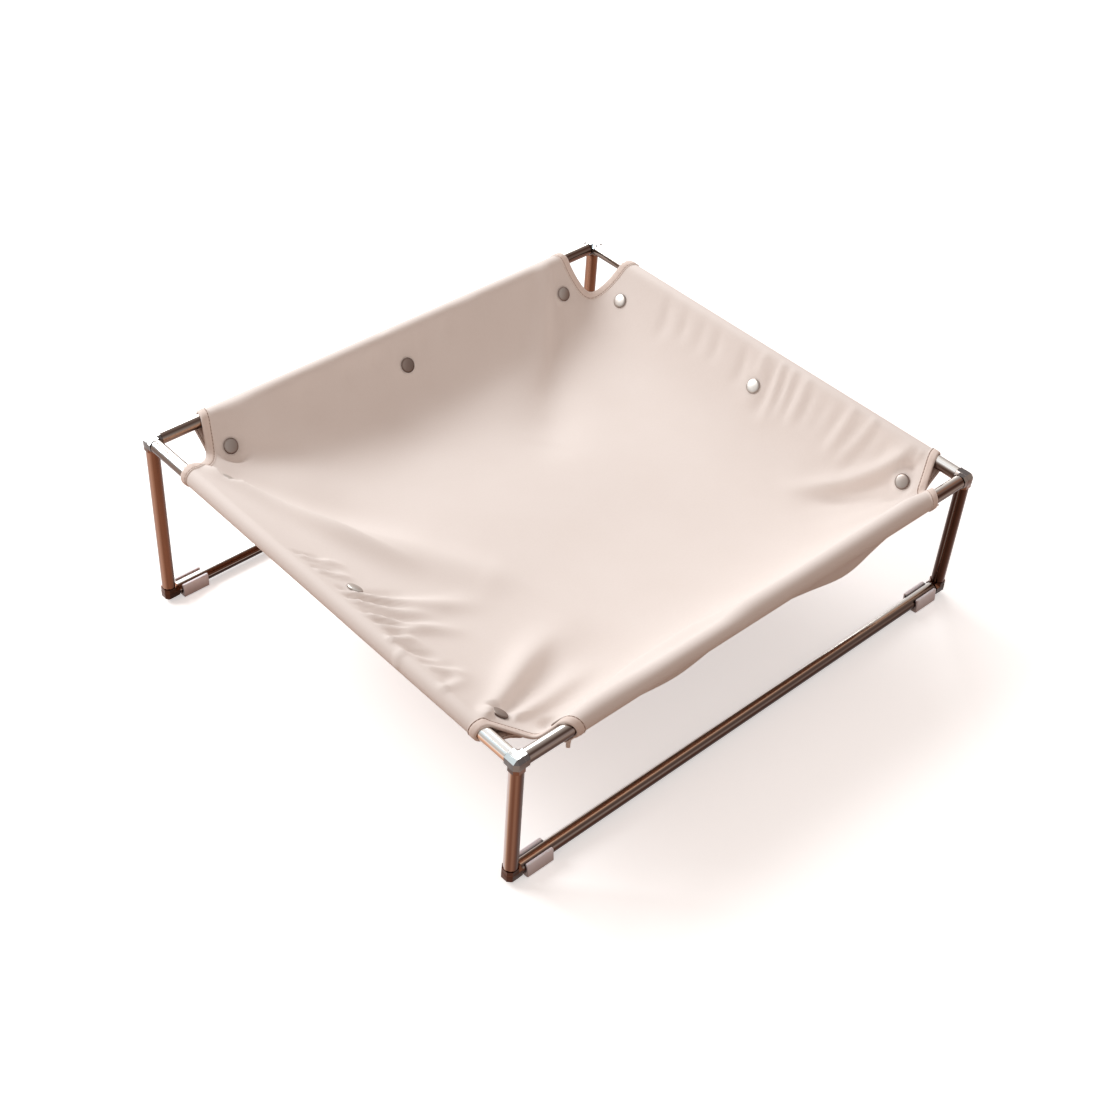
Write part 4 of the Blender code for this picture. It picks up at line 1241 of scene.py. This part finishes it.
def main_fold_height(x, y):
    """Sum of the broad folds: height x bell across x the middle part of half a wave along."""
    total = 0.0
    for start_share, end_share, height, width in main_folds:
        start = np.array(start_share) * (half_x, half_y)
        run = np.array(end_share) * (half_x, half_y) - start
        near = np.clip(((x - start[0]) * run[0] + (y - start[1]) * run[1]) / (run @ run), 0, 1)
        away = np.hypot(x - start[0] - near * run[0], y - start[1] - near * run[1])
        along = np.sin(np.pi * (fold_end_share + (1 - 2 * fold_end_share) * near))
        total = total + height * np.exp(-((away / width) ** 2)) * along
    return total


def base_sheet(u, v):
    """Walls blended inside the rails with the broad folds on them, and a circle round each tube outside."""
    angle_u = np.maximum(np.abs(u) - half_x, 0) / cloth_radius
    angle_v = np.maximum(np.abs(v) - half_y, 0) / cloth_radius
    x = np.clip(u, -half_x, half_x)
    y = np.clip(v, -half_y, half_y)
    insets = {"front": y + half_y, "rear": half_y - y, "left": x + half_x, "right": half_x - x}
    drops = {side: wall_drop(side, inset) + tiny for side, inset in insets.items()}
    least = np.minimum.reduce(list(drops.values()))
    past_land = np.minimum.reduce([inset - land_end[side] for side, inset in insets.items()])
    calm = np.exp(-((np.maximum(past_land, 0) / calm_width) ** 2))
    power = far_power + (near_power - far_power) * calm
    ratio = sum((least / drop) ** power for drop in drops.values())
    drop = least * ratio ** (-1 / power)
    for side, spot in snap_spots:
        far = np.hypot(x - spot[0], y - spot[1])
        drop = drop + (1 - smooth(far, pull_radius, pull_radius + pull_fade)) * (drops[side] - drop)
    z = cloth_radius * (np.cos(angle_u) + np.cos(angle_v) - 1) - drop + (1 - calm) * main_fold_height(x, y)
    x = x + np.sign(u) * cloth_radius * np.sin(angle_u)
    y = y + np.sign(v) * cloth_radius * np.sin(angle_v)
    return np.stack(np.broadcast_arrays(x, y, z), axis=-1)


step = 0.00005


def moves_of(surface, u, v):
    """How far a surface function moves over two steps in u, and over two in v."""
    return surface(u + step, v) - surface(u - step, v), surface(u, v + step) - surface(u, v - step)


def normals_of(surface, u, v):
    """Unit normals of a surface function, from the cross product of its two slopes."""
    return unit(np.cross(*moves_of(surface, u, v)))


def relief(u, v):
    """Fold height at (u, v), calm at the snaps, and never into a tube."""
    height = fold_field(u, v) + front_shelf(u, v)
    base = base_sheet(u, v)
    for _, spot in snap_spots:
        far = np.linalg.norm(base - spot, axis=-1)
        height = height * smooth(far, calm_radius, calm_radius + calm_fade)
    proud = (height + np.sqrt(height**2 + tube_swell**2)) / 2
    off_tube = smooth(np.minimum(half_x - np.abs(u), half_y - np.abs(v)), *tube_clear)
    return proud + off_tube * (height - proud)


def sheet(u, v):
    """The cloth's middle layer with its folds, in the top frame."""
    return base_sheet(u, v) + normals_of(base_sheet, u, v) * relief(u, v)[..., None]


# %% [markdown]
# ## The sling panel
#
# The panel is the sheet function on a grid, finer near the rails where the folds are small. It ends under
# each rail on the line where the cloth leaves the tube for the flap; the joints of the rigid model lie on
# that line and give its angle. The hollow corners are cut by leaving out the quads inside a circle, and
# the binding hides that edge. A Solidify modifier gives the cloth its thickness.

# %% Leave lines
body_of_side = {"front": "front_flap", "rear": "rear_flap", "left": "left_flap", "right": "right_flap"}
joint_of_body = {joint["child"]: joint for joint in frame["joints"]}


def leave_angle(side):
    """Angle round the tube, from its top outward, at which the cloth leaves it, read off the joint."""
    place = to_top(joint_of_body[body_of_side[side]]["pos_m"])
    middle, _, inward = side_axes[side]
    return math.atan2(-(place - middle) @ inward, place[2])


leave = {side: leave_angle(side) for side in side_axes}
print("leave angles in degrees:", {side: round(math.degrees(angle), 1) for side, angle in leave.items()})

# %% Sling panel
fine_spacing = 0.0017
rail_zone = 0.050
wide_spacing = 0.0034
last_step = 0.0002
shown_share = 0.9
cloth_sharp = 80.0


def grid_line(half_span, low_side, high_side):
    """Places of the grid lines across the sheet, close together near both rails."""
    reach_low = half_span + cloth_radius * leave[low_side]
    reach_high = half_span + cloth_radius * leave[high_side]
    zone = half_span - rail_zone
    parts = [
        [-reach_low],
        np.arange(-reach_low + last_step, -zone, fine_spacing),
        np.linspace(-zone, zone, int(2 * zone / wide_spacing)),
        np.arange(reach_high - last_step, zone, -fine_spacing)[::-1],
        [reach_high],
    ]
    return np.concatenate(parts)


def plan_place(u, half_span):
    """Where a length on the sheet lies seen from above."""
    angle = np.maximum(np.abs(u) - half_span, 0) / cloth_radius
    return np.clip(u, -half_span, half_span) + np.sign(u) * cloth_radius * np.sin(angle)


def thicken(piece):
    """Give a sheet of cloth its thickness both ways, and keep the result as its mesh."""
    modifier = piece.modifiers.new("thickness", "SOLIDIFY")
    modifier.thickness = cloth_thickness * shown_share
    modifier.offset = 0.0
    modifier.use_even_offset = True
    graph = bpy.context.evaluated_depsgraph_get()
    mesh = bpy.data.meshes.new_from_object(piece.evaluated_get(graph))
    piece.modifiers.clear()
    piece.data = mesh
    return piece


edge_room = 0.0004
lines_u = grid_line(half_x, "left", "right")
lines_v = grid_line(half_y, "front", "rear")
grid_u, grid_v = np.meshgrid(lines_u, lines_v, indexing="ij")
panel_points = sheet(grid_u, grid_v)
plan_u = plan_place(grid_u, half_x)
plan_v = plan_place(grid_v, half_y)
outside = np.ones(grid_u.shape, bool)
for centre in bite_centres.values():
    outside &= np.hypot(plan_u - centre[0], plan_v - centre[1]) > bite_radius + edge_room
outside &= ~((np.abs(grid_u) > half_x) & (np.abs(grid_v) > half_y))
keep = outside[:-1, :-1] & outside[1:, :-1] & outside[:-1, 1:] & outside[1:, 1:]
panel_mesh = grid_mesh("sling_sheet", to_world(panel_points), grid_u, grid_v, keep=keep)
tidy_mesh(panel_mesh, angle=cloth_sharp)
panel = make_piece("sling_sheet", panel_mesh, sling_cloth, None)
thicken(panel)
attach(panel, root_body)
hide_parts("sling_panel")
print("panel grid:", grid_u.shape, "faces kept:", int(keep.sum()))

# %% [markdown]
# ## Flaps
#
# Past the leave line the same cloth runs straight in under the panel to the snaps, lies flat there and
# ends a little farther in. Its section is a path whose direction turns once, gently. Between the snaps
# nothing holds the cloth up, so it bags a little and its free edge droops.

# %% Flap sections
snap_drop = cloth_thickness + 0.0041
flap_tail = 0.013
bend_length = 0.010
flap_bag = {
    "front": (0.0086, 0.0138), "rear": (0.0016, 0.0016), "left": (0.0024, 0.0042), "right": (0.0016, 0.0016),
}
bag_power = 1.3
bag_waves = (0.10, 61.0, 1.0)
droop_share = 0.6
edge_waves = (0.0006, 210.0)
snap_hold = (0.009, 0.030)
edge_fade = 0.014
section_points = 400


def flap_section(side):
    """Table of a flap's section: length, inset and height of the middle layer, and its direction."""
    inset = snap_inset(side)
    slope = np.array([1.0, wall_slope(side, inset, step)])
    run = slope / np.hypot(*slope)
    seat = np.array([inset, wall_height(side, inset)]) + np.array([run[1], -run[0]]) * snap_drop
    land = seat - run * snap_land
    angle = leave[side]
    start = cloth_radius * np.array([-math.sin(angle), math.cos(angle)])
    straight = np.hypot(*(land - start))
    way = (land - start) / straight
    length = straight + snap_land + flap_tail
    lengths = np.linspace(0, length, section_points)
    turned = smooth(lengths, straight - bend_length / 2, straight + bend_length / 2)[:, None]
    direction = way + (run - way) * turned
    direction = unit(direction)
    moves = np.cumsum((direction[1:] + direction[:-1]) / 2 * lengths[1], axis=0)
    path = start + np.concatenate([[[0, 0]], moves])
    return lengths, path, direction, straight


sections = {side: flap_section(side) for side in side_axes}


def flap_length(side):
    """Length of a flap from the leave line to its free edge."""
    return float(sections[side][0][-1])


def edge_relief(side, station):
    """The fold height that the panel has on the leave line, so that the flap starts on it."""
    _, along, inward = side_axes[side]
    out = half_x if side in ("left", "right") else half_y
    far = out + cloth_radius * leave[side]
    place = station[..., None] * along - far * inward
    return relief(place[..., 0], place[..., 1])


def flap_sheet(side):
    """The flap as a surface function of (station along the rail, length from the leave line)."""
    lengths, path, direction, straight = sections[side]
    snaps = snap_stations(side)
    span = snaps[1] - snaps[0]

    def surface(station, length):
        inset = np.interp(length, lengths, path[:, 0])
        height = np.interp(length, lengths, path[:, 1])
        turn_x = np.interp(length, lengths, direction[:, 0])
        turn_z = np.interp(length, lengths, direction[:, 1])
        between = np.abs(station - snaps[1]) / span
        bag = np.sin(np.pi * np.clip(between, 0, 1)) ** bag_power
        uneven = 1 + bag_waves[0] * np.sin(station * bag_waves[1] + bag_waves[2])
        hang = np.sin(np.pi * np.clip(length / (straight + snap_land), 0, 1)) ** 2
        droop = smooth(length, straight, lengths[-1]) ** 2
        far = np.min([np.abs(station - snap) for snap in snaps], axis=0)
        free = smooth(far, *snap_hold)
        deep = np.where(station < snaps[1], *flap_bag[side])
        out = deep * bag * uneven * (hang + droop_share * droop)
        out = out + edge_waves[0] * np.sin(station * edge_waves[1]) * free * droop
        out = out + edge_relief(side, station) * (1 - smooth(length, 0.0, edge_fade))
        return side_point(side, station, inset + turn_z * out, height - turn_x * out)

    return surface


# %% Flap cloth
flap_spacing = 0.0022


def blend_span(side):
    """Two world places along a flap's first stretch: the leave line, and a way in."""
    _, path, direction, _ = sections[side]
    ends = (path[0], path[0] + direction[0] * bend_length)
    return [Vector(to_world(side_point(side, 0.0, *end))) for end in ends]


def make_flap(side):
    """The cloth of one flap, from the leave line to the free edge."""
    surface = flap_sheet(side)
    start, end = sleeve_span(side, cloth_radius * math.sin(leave[side]))
    stations = np.linspace(start + edge_room, end - edge_room, int((end - start) / flap_spacing))
    lengths = np.arange(fine_spacing, flap_length(side) - edge_room, fine_spacing)
    lengths = np.concatenate([[0, last_step], lengths])
    s, l = np.meshgrid(stations, lengths, indexing="ij")
    mesh = grid_mesh("flap_sheet_" + side, to_world(surface(s, l)), s, l)
    tidy_mesh(mesh, angle=cloth_sharp)
    flap = make_piece("flap_sheet_" + side, mesh, sling_cloth, None)
    mesh.flip_normals()
    thicken(flap)
    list(blend_span(side))
    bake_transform(flap)
    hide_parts("flap_" + side)
    return flap


flaps = {side: make_flap(side) for side in side_axes}
print("flap lengths in mm:", {side: round(1000 * flap_length(side), 1) for side in side_axes})

# %% [markdown]
# ## Binding tape
#
# A folded tape covers every raw edge: the hollow corners, and the ends and free edge of each flap. Its
# section is a narrow U with a stitched groove near its inner edge, which leaves a small raised lip. The
# section is carried along the edge of the cloth by the same surface functions, so the tape follows every
# fold. d is the distance in from the edge, h the height over the cloth's middle layer.

# %% Tape along an edge
tape_width = 0.0076
tape_thickness = 0.0006
tape_over = 0.00012
stitch_inset = 0.0013
stitch_pitch = 0.0030
stitch_length = 0.0022
stitch_radius = 0.00024
stitch_sides = 6
stitch_sink = 0.0003
tape_spacing = 0.0008
tape_sharp = 55.0
fine_wrinkle = 1900.0
wrinkle_groups = (75.0, 4.0)
slow_wrinkle = (610.0, 1.3)
corner_wrinkle = 0.00026
flap_wrinkle = 0.00012


def tape_profile():
    """Closed outline of the folded tape as (d, h): upper outside, fold, lower outside, inside."""
    inside = cloth_thickness / 2 - 0.0001
    top = cloth_thickness / 2 + tape_thickness + tape_over
    groove = top - 0.00046
    line = tape_width - stitch_inset
    upper = np.array([
        (tape_width, inside), (tape_width + 0.00005, inside + 0.0003), (tape_width - 0.0002, top - 0.0001),
        (tape_width - 0.0006, top + 0.00022), (tape_width - 0.0009, top + 0.00016), (line + 0.0001, groove),
        (line - 0.0002, groove), (line - 0.0006, top - 0.00004), (line - 0.0013, top + 0.00016),
        (tape_width * 0.5, top + 0.00030), (tape_width * 0.2, top + 0.00022), (0.0001, top + 0.00006),
        (-0.0006, top * 0.82), (-0.0010, top * 0.45),
    ])
    lower = upper[::-1] * (1, -1)
    inner = np.array([(-0.0004, -inside), (-0.0004, inside)])
    return np.concatenate([upper, [(-0.00115, 0.0)], lower, inner])


tape_outline = tape_profile()
fold_at = int(np.argmin(tape_outline[:, 0]))
tape_run = 2 * float(np.hypot(*np.diff(tape_outline[: fold_at + 1], axis=0).T).sum())
# Painted shade in the stitched groove and a painted highlight on the lip, across the tape.
tape_painted_shade_bands = [
    (0.00, (0.95, 0.94, 0.93)), (0.14, (1.0, 1.0, 1.0)), (0.185, (0.46, 0.36, 0.31)),
    (0.255, (0.50, 0.40, 0.35)), (0.31, (0.98, 0.94, 0.91)), (0.55, (0.94, 0.89, 0.86)),
    (0.88, (0.98, 0.96, 0.94)), (1.0, (1.0, 0.99, 0.98)),
]
tape_light, tape_deep = (0.93, 0.86, 0.82), (0.84, 0.75, 0.70)
tape_cloth = cloth("binding_tape", tape_light, tape_deep, 0.0010, 0.00012, 0.15, (tape_run, tape_painted_shade_bands))
print("tape profile runs", round(1000 * tape_run, 1), "mm round")


def resample(path, surface, spacing):
    """Places evenly spaced on the surface along a path of (u, v), and the path's length there."""
    points = surface(path[:, 0], path[:, 1])
    steps = np.linalg.norm(np.diff(points, axis=0), axis=1)
    run = np.concatenate([[0], np.cumsum(steps)])
    count = max(int(round(run[-1] / spacing)), 2)
    at = np.linspace(0, run[-1], count + 1)
    return np.stack([np.interp(at, run, path[:, 0]), np.interp(at, run, path[:, 1])], axis=1), run[-1]


def edge_frame(path, surface):
    """At each place on a path: normal, (u, v) step that goes one metre in from the edge, and tangent."""
    u, v = path[:, 0], path[:, 1]
    slope_u, slope_v = (move / (2 * step) for move in moves_of(surface, u, v))
    normal = unit(np.cross(slope_u, slope_v))
    tangent = unit(np.gradient(surface(u, v), axis=0))
    inward = np.cross(normal, tangent)
    uu = (slope_u**2).sum(1)
    vv = (slope_v**2).sum(1)
    uv = (slope_u * slope_v).sum(1)
    iu = (inward * slope_u).sum(1)
    iv = (inward * slope_v).sum(1)
    share = uu * vv - uv**2
    return normal, np.stack([(iu * vv - iv * uv) / share, (iv * uu - iu * uv) / share], axis=1), tangent


def make_tape(name, path, surface, wrinkle):
    """A folded tape along a path, with its ends closed. Wrinkles run slantwise over its faces."""
    path, run = resample(path, surface, tape_spacing)
    normal, inward, _ = edge_frame(path, surface)
    along = np.linspace(0, run, len(path))
    d, h = tape_outline.T
    place = path[:, None, :] + d[None, :, None] * inward[:, None, :]
    points = surface(place[..., 0], place[..., 1]) + h[None, :, None] * normal[:, None, :]
    groups = 0.5 + 0.5 * np.sin(along[:, None] * wrinkle_groups[0] + wrinkle_groups[1])
    slant = np.sin((along[:, None] + 0.9 * d[None, :]) * fine_wrinkle) * groups
    slant = slant + 0.5 * np.sin((along[:, None] - 0.5 * d) * slow_wrinkle[0] + slow_wrinkle[1])
    near_edge = 1 - smooth(d, tape_width - 0.0026, tape_width - 0.0018)
    face = smooth(d, 0.0002, 0.0020) * near_edge * np.sign(h)
    ripple = wrinkle * slant * face[None, :]
    points = points + ripple[..., None] * normal[:, None, :]
    across = np.concatenate([[0], np.cumsum(np.hypot(*np.diff(tape_outline, axis=0).T)), [0]])
    across[-1] = across[-2] + 0.001
    u, v = np.meshgrid(along, across, indexing="ij")
    mesh = grid_mesh(name, to_world(points), u, v, close_columns=True, caps=True)
    return tidy_mesh(mesh, recalculate=True, angle=tape_sharp)


# %% Stitches


def stitch_form():
    """One stitch as a capsule along x: rings whose radius follows a half ellipse at both ends."""
    share = np.array([-1.0, -0.86, -0.5, 0.5, 0.86, 1.0])
    radius = np.array([0.15, 0.62, 1.0, 1.0, 0.62, 0.15]) * stitch_radius
    turn = 2 * np.pi * np.arange(stitch_sides) / stitch_sides
    x = np.repeat(share[:, None] * stitch_length / 2, stitch_sides, axis=1)
    return np.stack([x, radius[:, None] * np.cos(turn), radius[:, None] * np.sin(turn)], axis=-1)


def make_stitches(name, path, surface):
    """A row of stitches in the groove on both faces of a tape, as one mesh."""
    form = stitch_form()
    rows, ring = form.shape[:2]
    path, _ = resample(path, surface, stitch_pitch)
    normal, inward, tangent = edge_frame(path, surface)
    centre = (path[:-1] + path[1:]) / 2 + (inward[:-1] + inward[1:]) / 2 * (tape_width - stitch_inset)
    spots = surface(centre[:, 0], centre[:, 1])
    normal, tangent = normal[:-1], tangent[:-1]
    side = np.cross(normal, tangent)
    height = cloth_thickness / 2 + tape_thickness + tape_over - stitch_sink
    all_points = []
    for sign in (1, -1):
        base = spots + sign * height * normal
        points = base[:, None, None, :] + form[..., 0:1] * tangent[:, None, None, :]
        points = points + form[..., 1:2] * side[:, None, None, :]
        points = points + form[..., 2:3] * normal[:, None, None, :]
        all_points.append(points.reshape(-1, 3))
    points = np.concatenate(all_points)
    quads = grid_faces(rows, ring, False, True)
    count = len(points) // (rows * ring)
    start = (np.arange(count) * rows * ring)[:, None, None]
    faces = (quads[None] + start).reshape(-1, 4).tolist()
    first = (np.arange(ring)[None] + start[:, 0]).tolist()
    last = ((rows - 1) * ring + np.arange(ring)[None, ::-1] + start[:, 0]).tolist()
    mesh = bpy.data.meshes.new(name)
    mesh.from_pydata(to_world(points), [], faces + first + last)
    corners = read_array(mesh.loops, "vertex_index", kind=int)
    set_uv(mesh.uv_layers.new(name="surface"), points[corners][:, :2])
    return tidy_mesh(mesh, recalculate=True)


# %% Corner bindings
path_points = 60


def corner_path(corner):
    """The hollow edge of one corner as (u, v): round one tube, along the circle, round the other tube."""
    sign = np.array(corner_signs[corner])
    centre = bite_centres[corner]
    side_u = "left" if sign[0] < 0 else "right"
    side_v = "front" if sign[1] < 0 else "rear"
    angle = np.linspace(leave[side_u], 0, path_points)
    plan = half_x + cloth_radius * np.sin(angle)
    v = centre[1] - sign[1] * np.sqrt(bite_radius**2 - (sign[0] * plan - centre[0]) ** 2)
    first = np.stack([sign[0] * (half_x + cloth_radius * angle), v], axis=1)
    angle = np.linspace(0, leave[side_v], path_points)
    plan = half_y + cloth_radius * np.sin(angle)
    u = centre[0] - sign[0] * np.sqrt(bite_radius**2 - (sign[1] * plan - centre[1]) ** 2)
    last = np.stack([u, sign[1] * (half_y + cloth_radius * angle)], axis=1)
    begin = np.arctan2(*(first[-1] - centre)[::-1])
    finish = np.arctan2(*(last[0] - centre)[::-1])
    turn = (finish - begin + np.pi) % (2 * np.pi) - np.pi
    bearing = begin + np.linspace(0, turn, 2 * path_points)
    middle = centre + bite_radius * np.stack([np.cos(bearing), np.sin(bearing)], axis=1)
    path = np.concatenate([first[:-1], middle, last[1:]])
    return path if sign[0] * sign[1] > 0 else path[::-1]


for corner in corner_signs:
    path = corner_path(corner)
    mesh = make_tape("tape_corner_" + corner, path, sheet, corner_wrinkle)
    tape = make_piece("tape_corner_" + corner, mesh, tape_cloth, root_body)
    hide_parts("corner_binding_" + corner)
    mesh = make_stitches("stitches_corner_" + corner, path, sheet)
    make_piece("stitches_corner_" + corner, mesh, thread_cloth, root_body)
print("corner tapes:", len(corner_signs))

# %% Flap bindings
tail_corner = 0.006
free_points = 300


def flap_path(side):
    """The edge of a flap as (station, length): one end, the free edge with round corners, the other."""
    start, end = sleeve_span(side, cloth_radius * math.sin(leave[side]))
    length = flap_length(side)
    down = np.linspace(0, length - tail_corner, path_points)
    turn = np.linspace(0, np.pi / 2, 12)[1:-1]
    left = np.stack([np.full(path_points, start), down], axis=1)
    cut_cos, cut_sin = tail_corner * (1 - np.cos(turn)), tail_corner * (1 - np.sin(turn))
    corner_a = np.stack([start + cut_cos, length - cut_sin], axis=1)
    free = np.linspace(start + tail_corner, end - tail_corner, free_points)
    free = np.stack([free, np.full(free_points, length)], axis=1)
    corner_b = np.stack([end - cut_sin, length - cut_cos], axis=1)
    right = np.stack([np.full(path_points, end), down[::-1]], axis=1)
    return np.concatenate([left, corner_a, free, corner_b, right])


def make_flap_tape(side):
    """Tape and stitches on one flap."""
    surface = flap_sheet(side)
    path = flap_path(side)
    span = blend_span(side)
    mesh = make_tape("tape_flap_" + side, path, surface, flap_wrinkle)
    tape = make_piece("tape_flap_" + side, mesh, tape_cloth, None)
    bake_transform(tape)
    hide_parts("flap_binding_" + side)
    mesh = make_stitches("stitches_flap_" + side, path, surface)
    stitches = make_piece("stitches_flap_" + side, mesh, thread_cloth, None)
    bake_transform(stitches)
    return tape


flap_tapes = {side: make_flap_tape(side) for side in side_axes}
print("flap tapes:", len(flap_tapes))

# %% [markdown]
# ## The loose end of the tape
#
# At the left end of the front sleeve the tape's cut end was left hanging. It is a short strip that hooks
# down under the tube: a rounded section carried along five places and turned to the way the strip runs.

# %% Loose tape end
loose_places = np.array([
    (-0.2135, -0.2450, -0.0066), (-0.2160, -0.2475, -0.0092), (-0.2188, -0.2494, -0.0116),
    (-0.2206, -0.2505, -0.0150), (-0.2207, -0.2510, -0.0186),
])
loose_width = 0.0036
loose_thickness = 0.0013
loose_rings = 25
loose_sides = 20
loose_rounds = 6
loose_face = (0.75, 0.65, 0.0)
loose_squareness = 0.6
blunt_from = 0.92
blunt_reach = 0.085


def loose_end():
    """The strip: a smoothed line along its places, and round it a squarish ellipse with a blunt tip."""
    share = np.linspace(0, 1, loose_rings)
    knots = np.linspace(0, 1, len(loose_places))
    centre = np.stack([np.interp(share, knots, loose_places[:, k]) for k in range(3)], axis=1)
    for _ in range(loose_rounds):
        centre[1:-1] = (centre[:-2] + 2 * centre[1:-1] + centre[2:]) / 4
    way = unit(np.gradient(centre, axis=0))
    wide = unit(np.cross(way, np.array(loose_face)))
    thick = np.cross(way, wide)
    turn = 2 * np.pi * np.arange(loose_sides) / loose_sides
    across = np.sign(np.cos(turn)) * np.abs(np.cos(turn)) ** loose_squareness * loose_width / 2
    over = np.sign(np.sin(turn)) * np.abs(np.sin(turn)) ** loose_squareness * loose_thickness / 2
    blunt = 1 - (np.maximum(share - blunt_from, 0) / blunt_reach) ** 2
    blunt = np.sqrt(np.clip(blunt, 0.05, 1))[:, None, None]
    ring = across[None, :, None] * wide[:, None] + over[None, :, None] * thick[:, None]
    u, v = np.meshgrid(share * 0.015, np.arange(loose_sides + 1) * 0.0004, indexing="ij")
    points = to_world(centre[:, None] + blunt * ring)
    mesh = grid_mesh("tape_loose_end", points, u, v, close_columns=True, caps=True)
    return tidy_mesh(mesh, recalculate=True)


loose = make_piece("tape_loose_end", loose_end(), thread_cloth, "front_flap")
print("loose end:", len(loose.data.polygons), "faces")

# %% [markdown]
# ## Snap buttons
#
# Each snap has two riveted halves. On the panel a domed cap shows above and a socket sits below it, and
# on the flap a stud faces the socket, with a flat cap on the far side. Both halves are profiles turned
# round the axis of their rigid node. The caps mirror different parts of the room, so each has its own
# painted reflection tone, kept as v in its UV map. The painted tone drifts a little across the cap, and
# painted shade darkens the turned rim.

# %% Snap profiles
snap_sides = 48
cap_radius = 0.0075
rivet_radius = 0.0015
rim_start, rim_end = 0.80, 0.98


def cap_half():
    """Domed cap, rivet and socket as (radius, height) over the panel's middle layer."""
    face = cloth_thickness / 2 + 0.0004
    foot_z = -face - 0.0024
    dome = np.linspace(0, 1, 9)[:, None]
    crown = np.concatenate([0.0058 * dome, face + 0.0021 - 0.00035 * dome**2], axis=1)
    return np.concatenate([crown, [
        (0.0066, face + 0.00155), (0.0072, face + 0.0012), (cap_radius, face + 0.0008),
        (0.0074, face + 0.0003), (0.0070, face), (rivet_radius, face), (rivet_radius, -face),
        (0.0049, -face), (0.0053, -face - 0.0004), (0.0053, foot_z + 0.0006), (0.0047, foot_z),
        (0.0031, foot_z), (0.0027, foot_z + 0.0003), (0.0027, -face - 0.0004), (0, -face - 0.0004),
    ]])


def stud_half():
    """Stud, rivet and back cap as (radius, height) over the flap's middle layer."""
    face = cloth_thickness / 2 + 0.0003
    shoulder = face + 0.0006
    return np.array([
        (0, shoulder + 0.0019), (0.0010, shoulder + 0.0019), (0.0016, shoulder + 0.0016),
        (0.0019, shoulder + 0.0010), (0.0017, shoulder + 0.0005), (rivet_radius, shoulder),
        (0.0047, shoulder), (0.0050, shoulder - 0.0003), (0.0050, face), (rivet_radius, face),
        (rivet_radius, -face), (0.0049, -face), (0.0050, -face - 0.0003), (0.0045, -face - 0.0009),
        (0.0030, -face - 0.0011), (0, -face - 0.0011),
    ])


def make_snap(name, profile, origin, axis, body, tone):
    """One half of a snap button, turned round its axis; v of its UV map is its painted reflection tone."""
    helper = np.array([1.0, 0.0, 0.0]) if abs(axis[0]) < 0.9 else np.array([0.0, 1.0, 0.0])
    first = unit(np.cross(axis, helper))
    second = np.cross(axis, first)
    axes = [part @ lean_turn.T for part in (first, second, axis)]
    mesh = turned_mesh(name, profile, snap_sides, to_world(origin), axes, closed=False)
    corners = read_array(mesh.loops, "vertex_index", kind=int)
    offset = read_array(mesh.vertices, "co", 3) - to_world(origin)
    along = offset @ axes[2]
    radius = np.linalg.norm(offset - along[:, None] * axes[2], axis=1)
    drift = reflection_drift_slope * (offset @ reflection_drift_way / cap_radius)
    shade = tone + drift + rim_shade * smooth(radius / cap_radius, rim_start, rim_end)
    uv = np.stack([along, np.clip(shade, 0, 1)], axis=1)[corners]
    set_uv(mesh.uv_layers[0], uv)
    node = "snap_" + name
    piece = make_piece(name, mesh, snap_metal, body)
    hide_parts(node)
    return piece


# Painted reflections on the snap caps: a tone for each, a drift across it, and painted shade on the rim.
reflection_drift_way = np.array([0.64, -0.77, 0.0])
reflection_drift_slope = 0.14
rim_shade = 0.17
snap_reflection_tone = {
    "rear_left": 0.60, "rear_middle": 0.74, "rear_right": 0.60, "right_rear": 0.32, "right_middle": 0.28,
    "right_front": 0.52, "left_rear": 0.02, "left_middle": 0.30,
}
other_reflection_tone = 0.60
snap_order = {
    "front": ("left", "middle", "right"),
    "rear": ("right", "middle", "left"),
    "left": ("rear", "middle", "front"),
    "right": ("front", "middle", "rear"),
}
snaps = []
for side in side_axes:
    inset = snap_inset(side)
    slope = wall_slope(side, inset, step)
    up = (upward - slope * side_axes[side][2]) / math.hypot(1.0, slope)
    for place_name, station in zip(snap_order[side], snap_stations(side)):
        origin = side_point(side, station, inset, wall_height(side, inset))
        ends = f"{side}_{place_name}"
        tone = snap_reflection_tone.get(ends, other_reflection_tone)
        snaps.append(make_snap("cap_" + ends, cap_half(), origin, up, root_body, tone))
        low = origin - up * snap_drop
        snaps.append(make_snap("stud_" + ends, stud_half(), low, up, body_of_side[side], other_reflection_tone))
print("snap halves:", len(snaps))

# %% [markdown]
# ## Cloth area
#
# The panel and its four flaps are one cut on the real sling. Here the area of one face of the hung panel
# is measured.


def sheet_area(mesh):
    """Area of one face of a thin closed sheet: half of its surface."""
    return float(read_array(mesh.polygons, "area").sum() / 2)


panel_area = sheet_area(panel.data)
